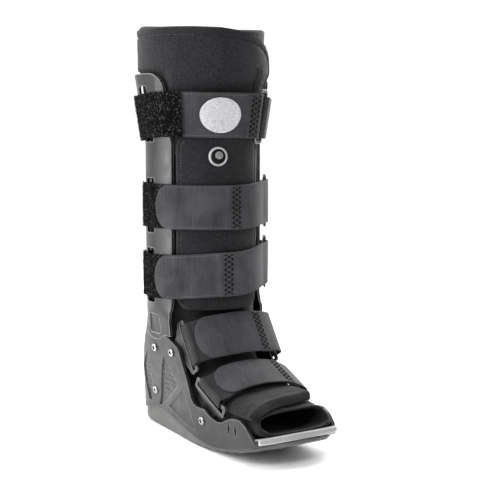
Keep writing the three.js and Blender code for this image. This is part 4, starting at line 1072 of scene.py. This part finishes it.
def tucked(point, inset):
    """Keeps a liner point inside the shell and uprights, and on the shell's floor."""
    x, t, z = point[0], -point[1], point[2]
    if z < 1.02 * ANKLE_HEIGHT:
        z = max(z, floor_height(t) + GAP + (inset - CORE_INSET))
        rise = smooth((z - LIP_RISE / 2) / (LEG_START - LIP_RISE / 2))
        back = mix(-HEEL_TO_LEG - SHELL_PROUD, LEG_CENTRE - LEG_DEPTH / 2, rise) + inset
        reach = mix(HEEL_WIDTH / 2, LEG_DEPTH / 2, rise) - inset
        rear = clamp01(1 - (t - back) / reach)
        t = max(t, back)
        limit = (hard_half_width(t, z) - inset) * max(0.0, 1 - rear ** 2.3) ** (1 / 2.3)
        if z < 56:
            round_toe = clamp01(1 - (forward(0.99) - inset - t) / (0.09 * SOLE_LENGTH - inset))
            limit *= max(0.0, 1 - round_toe ** 3) ** (1 / 3)
        x = max(-limit, min(limit, x))
    return at(x, t, z)


def make_liner():
    sides = 112
    angles = [360 * i / sides for i in range(sides)]
    positions = list(np.arange(0.0, LAST_ROW + 1e-6, 0.09))
    edge = 3.0

    def place(position, angle, depth):
        section = liner_section(max(0.0, position))
        signed = (angle + 180) % 360 - 180
        depth *= 1 - 0.55 * smooth((position - 13) / 3)
        point = liner_point(section, angle, -depth)
        z = point[2]
        if position < 2.2:
            point[2] -= (top_drop(signed) + edge) * smooth((z - 300) / 136)
        upper = smooth(0.5 + math.cos(math.radians(signed)))
        point[1] += (9 + 5 * math.sin(math.radians(signed))) * upper * smooth((position - 15.2) / 1.8)
        if depth < 1.3:
            swell = 0.0
            if position < 6:
                hem = BOOT_HEIGHT - top_drop(signed) - 14
                swell += 0.9 * puff(z) * smooth((z - 150) / 40) - 1.3 * bell(z - hem, 1.5)
            swell += 0.7 * lumps(point, 46, 3.1) + 0.35 * lumps(point, 17, 8.3)
            crease = bell(math.sin((position - 6) * 3.1), 0.28)
            crease *= smooth(position - 5.6) * smooth(9.5 - position)
            swell -= 1.4 * crease * smooth(math.cos(math.radians(signed)) + 0.4)
            centre = liner_point(section, angle, -20)
            point = point + unit(point - centre) * swell
            return tucked(point, CORE_INSET)
        return tucked(point, CORE_INSET + depth - 0.5)

    rings = [[place(p, a, 0) for a in angles] for p in positions]

    def rim(position, along):
        made = []
        for turn in (30, 60, 90, 120, 150):
            depth = LINER_WALL / 2 * (1 - math.cos(math.radians(turn)))
            out = edge * math.sin(math.radians(turn))
            made.append([place(position, a, depth) + along * out for a in angles])
        return made

    toe_way = unit(at(0, 1, 0.1))
    rings += rim(LAST_ROW, toe_way * 0.4)
    rings += [[place(p, a, LINER_WALL) for a in angles] for p in reversed(positions[::2])]
    rings += rim(0.0, at(0, 0, 1))[::-1]
    return loft("padded_liner", rings, LINER, join=True)


liner = keep(make_liner(), "liner", "liner")


# Liner's outer flap over the shin, with a bound edge and a stitched seam beside it

WRAP_EDGE = [(0.36, 40), (0.39, 46), (0.84, 47), (0.89, 51), (0.915, 49), (0.93, 45), (0.943, 39),
             (0.955, 31), (0.967, 19), (0.977, 3), (0.983, -14), (0.986, -34)]


def layer_patch(name, finish, outline, face, back, edge, rows, columns):
    """Padded layer on the shin with rounded edges. outline(v) gives a height and its two end angles,
    edge the edge's width and the layer's height."""
    outer, inner = [], []
    for i in range(rows + 1):
        v = i / rows
        z, start, end = outline(v)
        for j in range(columns + 1):
            u = 0.5 - 0.5 * math.cos(math.pi * j / columns)
            angle = mix(start, end, u)
            near = min(min(u, 1 - u) * (end - start) * 1.12, min(v, 1 - v) * edge[1])
            crown = math.sqrt(max(0.0, 1 - (1 - clamp01(near / edge[0])) ** 2))
            outer.append(face(angle, z, crown))
            inner.append(shin_point(angle, z, back))
    return closed_layer(name, outer, inner, rows, columns, finish)


LEG_ROUND = 64


def inset_line(edge, inset):
    """Rows of (distance round, height) moved inward from an edge that runs with the layer on its left."""
    flat = np.array([(math.radians(a) * LEG_ROUND, z) for a, z in edge])
    moved = []
    for i, (s, z) in enumerate(flat):
        run = unit(flat[min(len(flat) - 1, i + 1)] - flat[max(0, i - 1)])
        moved.append((s - inset * run[1], z + inset * run[0]))
    return np.array(moved)


def groove(line, angle, z, width=0.9):
    gaps = np.hypot(line[:, 0] - math.radians(angle) * LEG_ROUND, line[:, 1] - z)
    return bell(gaps.min(), width)


WRAP_TOP = 0.986 * BOOT_HEIGHT
WRAP_CORNER = [(z * BOOT_HEIGHT, a) for z, a in WRAP_EDGE]
WRAP_SIDE = [(lookup(WRAP_CORNER, z, True), z) for z in np.linspace(0.7 * BOOT_HEIGHT, WRAP_TOP, 220)]
WRAP_SEAM = inset_line(WRAP_SIDE + [(a, WRAP_TOP) for a in np.linspace(-35, -148, 110)], 8.5)


def wrap_outline(v):
    z = mix(0.36 * BOOT_HEIGHT, WRAP_TOP, v ** 0.7)
    start = mix(-58, -150, smooth((z - 296) / 30))
    return z, start, lookup(WRAP_CORNER, z, True)


def wrap_face(angle, z, crown=1.0):
    """Outer face of the wrap, which lies flat where it runs between the liner and the upright."""
    thin = smooth((-angle - 58) / 8) * smooth((UPRIGHT_TOP + 5 - z) / 5)
    inner, outer = shin_point(angle, z, 0), shin_point(angle, z, 1)
    waves = 0.7 * lumps(inner, 42, 5.0) + 0.25 * lumps(inner, 15, 2.0) + 0.5 * puff(z)
    swell = crown * (1 - thin) * (waves - 1.8 * groove(WRAP_SEAM, angle, z, 1.2))
    full = 0.5 + 0.3 * smooth((z - UPRIGHT_TOP + 17) / 20) * smooth((angle + 50) / 50)
    full *= mix(0.3, 1, smooth((angle + 152) / 30))
    return mix(inner, outer, mix(0.14, mix(full, 0.12, thin), crown)) + unit(outer - inner) * swell


wrap = layer_patch("liner_wrap", LINER, wrap_outline, wrap_face, back=0.1, edge=(4.5, 330), rows=150,
                   columns=100)
keep(wrap, "liner", "liner_front_flap")


def tab_outline(v):
    """Small fabric tab beside the top strap's ring, with a slanted upper edge."""
    return mix(0.82, 0.893, v) * BOOT_HEIGHT, 20 + 0.6 * v, 31 - 2 * v


def tab_face(angle, z, crown=1.0):
    away = unit(shin_point(angle, z, 1) - shin_point(angle, z, 0))
    return wrap_face(angle, z) + away * (1.5 * crown + 0.5 * (angle - 25) / 5 - 0.2)


tab = layer_patch("liner_tab", LINER, tab_outline, tab_face, back=0.45, edge=(1.6, 60), rows=40, columns=20)
keep(tab, "liner")


def seam_on(face, line, pitch, lift, width=0.5):
    """Stitches in a groove, from flat rows of (distance round, height)."""
    spots = []
    for s, z in line:
        angle = math.degrees(s / LEG_ROUND)
        point = face(angle, z)
        away = unit(shin_point(angle, z, 1) - shin_point(angle, z, 0))
        spots.append((point + away * lift, away))
    seam(seam_stitches, spots, pitch, width)


stitches, seam_stitches = [], []
seam_on(wrap_face, WRAP_SEAM[::2], pitch=2.6, lift=0.35)


# Shin pad with a bound edge, pressed by the straps

PAD_BOTTOM, PAD_TOP, PAD_ROUND = 0.318, 0.734, 0.035
PAD_START, PAD_END, PAD_PULL = -59, 33, 13


def pad_sides(z):
    share = z / BOOT_HEIGHT
    near = clamp01(min((share - PAD_BOTTOM) / PAD_ROUND, (PAD_TOP - share) / PAD_ROUND))
    pull = PAD_PULL * (1 - math.sqrt(max(0.0, 1 - (1 - near) ** 2)))
    return PAD_START + pull, PAD_END - pull


def pad_outline(v):
    z = mix(PAD_BOTTOM, PAD_TOP, 0.5 - 0.5 * math.cos(math.pi * v)) * BOOT_HEIGHT
    return (z, *pad_sides(z))


PAD_HEIGHTS = np.linspace(PAD_BOTTOM * BOOT_HEIGHT + 0.3, PAD_TOP * BOOT_HEIGHT - 0.3, 120)
PAD_EDGE = [(pad_sides(z)[1], z) for z in PAD_HEIGHTS] + [(pad_sides(z)[0], z) for z in PAD_HEIGHTS[::-1]]
PAD_SEAM = inset_line(PAD_EDGE, 5.5)


def pad_face(angle, z, crown=1.0):
    inner, outer = shin_point(angle, z, 0), shin_point(angle, z, 1)
    valve = math.hypot((angle - VALVE_ANGLE) * 1.15, z - VALVE_HEIGHT * BOOT_HEIGHT)
    free = puff(z)
    ripple = 0.8 * lumps((inner[0], inner[1], inner[2] * 2.0), 30, 2.2) + 0.35 * lumps(inner, 12, 6.0)
    swell = crown * (1.3 * free - 0.5 + ripple * free - groove(PAD_SEAM, angle, z)) - 2.2 * bell(valve, 9)
    return mix(inner, outer, mix(0.64, 0.92, crown)) + unit(outer - inner) * swell


shin_pad = layer_patch("shin_pad_cover", SHIN, pad_outline, pad_face, back=0.6, edge=(6, 180), rows=130,
                       columns=70)
keep(shin_pad, "liner", "shin_pad")
seam_on(pad_face, PAD_SEAM[4:-4:2], pitch=2.6, lift=0.2, width=0.42)


# Toe flap: thick fuzzy foam that crosses over the toes and ends in a fat rounded edge


def make_toe_flap():
    """Its front edge runs from low at the wearer's right to high at the left, in a fat soft roll."""
    first, last = 11.7, LAST_ROW - 0.12
    rows, columns = 60, 60
    outer, inner = [], []
    for i in range(rows + 1):
        s = i / rows
        for j in range(columns + 1):
            u = j / columns
            angle = mix(-76, 37, u)
            position = first + (last - first) * s - 1.25 * s * smooth((angle + 62) / 108)
            section = liner_section(position)
            front = math.sqrt(max(0.0, 1 - clamp01((s - 0.86) / 0.14) ** 2))
            side = math.sqrt(max(0.0, 1 - clamp01((u - 0.9) / 0.1) ** 2))
            thick = mix(0.6, LINER_WALL + 1.6, smooth(1.4 * s - 0.4)) * (1 + 0.35 * smooth(angle / 40) * s)
            base = liner_point(section, angle, GAP)
            away = unit(liner_point(section, angle, 10) - base)
            rough = 1.0 * lumps(base, 22, 4.4) * s + 0.5 * lumps(base, 8, 1.4) * s
            rough += 2.2 * bell(s - 0.62, 0.2) * smooth((angle + 20) / 50) + 1.2 * bell(s - 0.93, 0.05)
            full = GAP + (thick + rough) * (0.12 + 0.88 * front * side)
            outer.append(tucked(base + away * full, SHELL_WALL + GAP))
            inner.append(tucked(base + away * 0.2 * thick * (1 - front * side), SHELL_WALL + GAP))
    return closed_layer("toe_flap_upper", outer, inner, rows, columns, TOE)


toe_flap = keep(subdivided(make_toe_flap()), "liner", "liner_toe_flap")


# Straps

fibres = []
for label, strap in LEG_STRAPS.items():
    on_top = label == "top"
    stations, rows = band_stations(strap)
    band = ribbon(f"band_{label}", stations, WEBBING, BAND, cells=16)
    keep(band, "webbing", f"strap_{label}_band")
    lengths = strap_length(stations)
    stitch_at = next(lengths[i] for i, (angle, _) in enumerate(rows) if angle >= strap["stitch"])
    zigzag(stitches, stations, stitch_at + 1.5, width=10.5)
    for across in (-0.9, 0.9):
        line = [on_strap(stations, d, across, WEBBING / 2 + 0.05)[:2] for d in np.arange(16, stitch_at, 6)]
        seam(seam_stitches, line, pitch=2.0, width=0.34)
    anchor = ribbon(f"anchor_{label}", anchor_stations(strap), WEBBING, BAND, cells=12)
    keep(anchor, "webbing", f"strap_{label}_anchor")
    pad = pad_stations(strap, -50 if on_top else -62, WEBBING + GAP if on_top else 0)

    def rough(length, across, out, seed=len(fibres) % 7):
        return 0.5 * noise.noise(Vector((length / 1.7, across / 1.7, out * 2 + seed)))

    fuzzy = ribbon(f"pad_{label}", finer(pad), PILE, PILE_LOOPS, cells=44, lift=rough)
    keep(fuzzy, "pile", f"strap_{label}_pad")
    fuzz(fibres, pad, 11 + len(fibres))

for label, strap in FOOT_STRAPS.items():
    stations = foot_band_stations(strap)
    band = ribbon(f"band_{label}", stations, WEBBING, BAND, cells=16)
    keep(band, "webbing", f"strap_{label}_band")
    lengths = strap_length(stations)
    edge = next(lengths[i] for i in range(len(stations)) if stations[i][0][0] > strap["stitch"] * FOOT_WIDTH)
    zigzag(stitches, stations, edge + 1.5, width=9.5)
    loop = ribbon(f"loop_{label}", foot_loop_stations(strap), WEBBING, LOOP_PAINTED_SHADE, cells=12)
    keep(loop, "webbing", f"strap_{label}_loop")


def make_disc():
    centre, half_length, half_height, thick = -16.5, 20.5, 18, 0.9
    shares = [math.sin(math.radians(a)) for a in range(-88, 89, 4)]
    offset = INNER_LAYER + WEBBING / 2 + GAP + thick / 2
    rows = [(centre + degrees_of(share * half_length), offset) for share in shares]
    halves = [half_height * math.sqrt(max(0.004, 1 - share ** 2)) for share in shares]
    stations = leg_stations(LEG_STRAPS["top"], rows, lambda i: halves[i])
    return ribbon("felt_disc", stations, thick, DISC, cells=16)


keep(make_disc(), "disc", "strap_top_disc")


# Turned parts: rivets and the air valve


def turned(name, profile, seat, axis, finish, sides):
    """Lathe of (radius, height) rows about an axis at a point in millimetres."""
    turn = Vector(axis).to_track_quat("Z", "Y").to_matrix()
    points = []
    for radius, height in profile:
        r = max(radius, 0.01)
        for j in range(sides):
            a = 2 * math.pi * j / sides
            points.append(np.array(turn @ Vector((r * math.cos(a), r * math.sin(a), height))) + seat)
    return mesh_piece(name, points, tube_faces(len(profile), sides), finish)


def finish_inside(piece, finish, seat, axis, radius, lowest):
    """Second finish for a turned piece's faces within a radius of its axis and above a height."""
    piece.data.materials.append(finish)
    for polygon in piece.data.polygons:
        middle = (np.array(polygon.center) - SHIFT) * 1000 - seat
        height = middle @ axis
        if height > lowest and np.linalg.norm(middle - axis * height) < radius:
            polygon.material_index = 1


RIVETS = {"a": (0.284, 0.852), "b": (0.414, 0.851), "c": (0.205, 0.376), "d": (0.599, 0.273)}
RIVET_DOME = [(0, -5), (2.1, -5), (2.1, 0.4), (4.4, 0.4), (4.5, 0.8), (4.3, 1.2), (3.7, 1.75), (3.0, 2.05),
              (2.4, 2.1), (2.15, 1.9), (2.05, 1.2), (1.9, 0.6), (0, 0.5)]


def rivet_axis(spot, side):
    t, z = forward(spot[0]), spot[1] * ANKLE_HEIGHT
    slope_t = (hard_half_width(t + 2, z) - hard_half_width(t - 2, z)) / 4
    slope_z = (hard_half_width(t, z + 2) - hard_half_width(t, z - 2)) / 4
    return at(side * hard_half_width(t, z), t, z), unit(at(side, -slope_t, -slope_z))


for letter, spot in RIVETS.items():
    for side, word in ((1, "left"), (-1, "right")):
        seat, axis = rivet_axis(spot, side)
        rivet = turned(f"dome_{letter}_{word}", RIVET_DOME, seat, axis, STEEL, sides=32)
        finish_inside(rivet, RIVET_HOLE_SHADE, seat, axis, radius=2.12, lowest=0)
        keep(rivet, "rivets", f"rivet_{letter}_{word}")


def valve_frame():
    z = VALVE_HEIGHT * BOOT_HEIGHT
    seat = strap_base(VALVE_ANGLE, z, -0.5)
    run = strap_base(VALVE_ANGLE + 1, z, -0.5) - strap_base(VALVE_ANGLE - 1, z, -0.5)
    return seat, unit(np.cross(run, at(0, 0, 1)))


# Profiles of the valve, with their radii in shares of the valve's radius
VALVE_RIM = [(0, -3.6), (1, -3.6), (1, 0.4), (0.97, 1.1), (0.9, 1.5), (0.82, 1.4), (0.77, 0.9), (0.74, -2.6),
             (0, -2.8)]
VALVE_PLUG = [(0, -2.7), (0.42, -2.7), (0.4, 1.9), (0.37, 2.5), (0.3, 2.7), (0, 2.7)]


def valve_profile(rows):
    return [(share * VALVE_RADIUS, height) for share, height in rows]


valve_seat, valve_out = valve_frame()
valve_side = unit(np.cross(at(0, 0, 1), valve_out))
rim = turned("valve_rim", valve_profile(VALVE_RIM), valve_seat, valve_out, VALVE, sides=48)
finish_inside(rim, CUP, valve_seat, valve_out, radius=0.765 * VALVE_RADIUS, lowest=-3.2)
keep(rim, "rivets", "valve_ring")
plug_seat = valve_seat + valve_side * 0.9 + at(0, 0, 1.3)
plug = turned("valve_plug", valve_profile(VALVE_PLUG), plug_seat, valve_out, PLUG, sides=36)
keep(plug, "holders", "valve_stem")


# Pale ribbed strip over the front edge of the toe lip


def lip_edge(x):
    """Forward reach of the shell's rounded front at a distance from its middle."""
    half = sole_half_width(forward(0.97)) + SHELL_PROUD
    return forward(0.99) - 0.09 * SOLE_LENGTH * (1 - max(0.0, 1 - (abs(x) / half) ** 3) ** (1 / 3))


def make_lip_strip():
    fold = [(-13, 0.5), (-9, 0.7), (-5, 0.7), (-1.5, 0.6), (0.2, 0.2), (0.7, -1), (0.7, -3), (0.5, -5)]
    columns, reach = 96, 47.5
    outer, inner = [], []
    for back, rise in fold:
        for j in range(columns + 1):
            x = mix(-reach, reach, j / columns)
            t = lip_edge(x) + back
            z = floor_height(min(t, lip_edge(x) - 0.5)) + rise + 0.1 * math.sin(x * 2.4)
            outer.append(at(x, t, z))
            inner.append(at(x, t - 0.7, z - 0.7))
    return closed_layer("lip_strip", outer, inner, len(fold) - 1, columns, STRIP)


keep(make_lip_strip(), "shell")


# Thread and fibres

keep(scattered("crossed_thread", stitches, DASH, THREAD), "webbing")
keep(scattered("seam_thread", seam_stitches, DASH, GREY_THREAD), "webbing")
keep(scattered("pile_fibres", fibres, FIBRE, PILE_LOOPS), "pile")


# Hard parts straight from the model, with their seams merged and smooth shading below an angle


def tidy_shading_tree():
    tree, nodes, given, sharp = geometry_group("merge_and_smooth", "Sharp angle")
    joined = nodes.add("GeometryNodeMergeByDistance", {"Geometry": given["Geometry"], "Distance": 0.00001})
    angle = nodes.add("GeometryNodeInputMeshEdgeAngle").outputs["Unsigned Angle"]
    flat = nodes.math("LESS_THAN", angle, given["Sharp angle"])
    shaded = joined.outputs[0]
    for domain, smooth_where in (("FACE", True), ("EDGE", flat)):
        shaded = nodes.add("GeometryNodeSetShadeSmooth", {"Geometry": shaded, "Shade Smooth": smooth_where},
                           domain=domain).outputs[0]
    nodes.add("NodeGroupOutput", {0: shaded})
    return tree, sharp


TIDY, SHARP = tidy_shading_tree()
HARD_FINISH = {"outsole": SOLE, "foot_shell": SHELL, "upright_left": UPRIGHT, "upright_right": UPRIGHT}
for label in LEG_STRAPS:
    HARD_FINISH[f"strap_{label}_ring"] = HOLDER
for label in FOOT_STRAPS:
    for word in ("left", "right"):
        HARD_FINISH[f"chafe_{label}_{word}"] = HOLDER

for node, finish in HARD_FINISH.items():
    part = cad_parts[node]
    part.data.materials.clear()
    part.data.materials.append(finish)
    if part.data.attributes.get("custom_normal"):
        part.data.attributes.remove(part.data.attributes["custom_normal"])
    modifier = part.modifiers.new("shading", "NODES")
    modifier.node_group = TIDY
    modifier[SHARP] = math.radians(28)

for piece in made_pieces:
    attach(piece, "root")


# Floor, lights and camera


def make_floor():
    """Round sheet of white paper, small enough to stay evenly lit."""
    radius, sides = 1.5, 96
    turns = [2 * math.pi * i / sides for i in range(sides)]
    ring = [(radius * math.cos(a), radius * math.sin(a), 0) for a in turns]
    mesh = bpy.data.meshes.new("studio_floor")
    mesh.from_pydata(ring, [], [tuple(range(sides))])
    made, nodes, shader, where = material("white_paper", 0.9, specular=0.1)
    paper = nodes.noise(where, 3, 2)
    nodes.set(shader, "Base Color", nodes.colour(paper, (0.95, 0.95, 0.95, 1), (0.98, 0.98, 0.98, 1)))
    mesh.materials.append(made)
    floor = link("studio_floor", mesh)


def area_light(name, place, aim, size, power):
    light = bpy.data.lights.new(name, "AREA")
    light.shape = "RECTANGLE"
    light.size, light.size_y = size
    light.energy = power
    lamp = bpy.data.objects.new(name, light)
    bpy.context.scene.collection.objects.link(lamp)
    lamp.location = place
    lamp.rotation_euler = (Vector(aim) - Vector(place)).to_track_quat("-Z", "Y").to_euler()


# Place, size and power of each light, in metres and watts
LIGHTS = {
    "key_light": ((-0.9, -1.5, 1.9), (0.8, 0.8), 22),
    "left_light": ((-1.6, 0.5, 0.7), (0.5, 1.6), 36),
    "right_light": ((1.5, 0.6, 0.9), (0.6, 1.6), 40),
    "top_light": ((0.1, 0.3, 2.2), (1.6, 1.6), 32),
}
LIT_POINT = (0, 0, 0.2)

make_floor()
for name, (place, size, power) in LIGHTS.items():
    area_light(name, place, LIT_POINT, size, power)


def light_air():
    """White surroundings that light the boot more from behind than from in front."""
    world = bpy.data.worlds.new("studio_air")
    world.use_nodes = True
    nodes = Nodes(world.node_tree)
    way = nodes.add("ShaderNodeTexCoord").outputs["Generated"]
    depth = nodes.part(way, 1)
    background = world.node_tree.nodes["Background"]
    background.inputs["Color"].default_value = (1, 1, 1, 1)
    seen = nodes.add("ShaderNodeLightPath").outputs["Is Camera Ray"]
    light = nodes.ramp(depth, -0.25, 0.3, 0.35, 1.1)
    nodes.set(background, "Strength", nodes.math("MAXIMUM", light, seen))
    bpy.context.scene.world = world


light_air()
bpy.context.scene.view_settings.view_transform = "Standard"

camera_data = bpy.data.cameras.new("camera")
camera_data.lens = CAMERA_LENS
camera_data.sensor_width = 36
camera_data.clip_start, camera_data.clip_end = 0.05, 20
camera = bpy.data.objects.new("camera", camera_data)
bpy.context.scene.collection.objects.link(camera)
camera.location = Vector(to_metres(at(CAMERA_X, CAMERA_T, CAMERA_Z)))
turn, drop = math.radians(CAMERA_TURN), math.radians(CAMERA_DROP)
aim = Vector((math.sin(turn) * math.cos(drop), math.cos(turn) * math.cos(drop), -math.sin(drop)))
camera.rotation_euler = aim.to_track_quat("-Z", "Y").to_euler()
bpy.context.scene.camera = camera
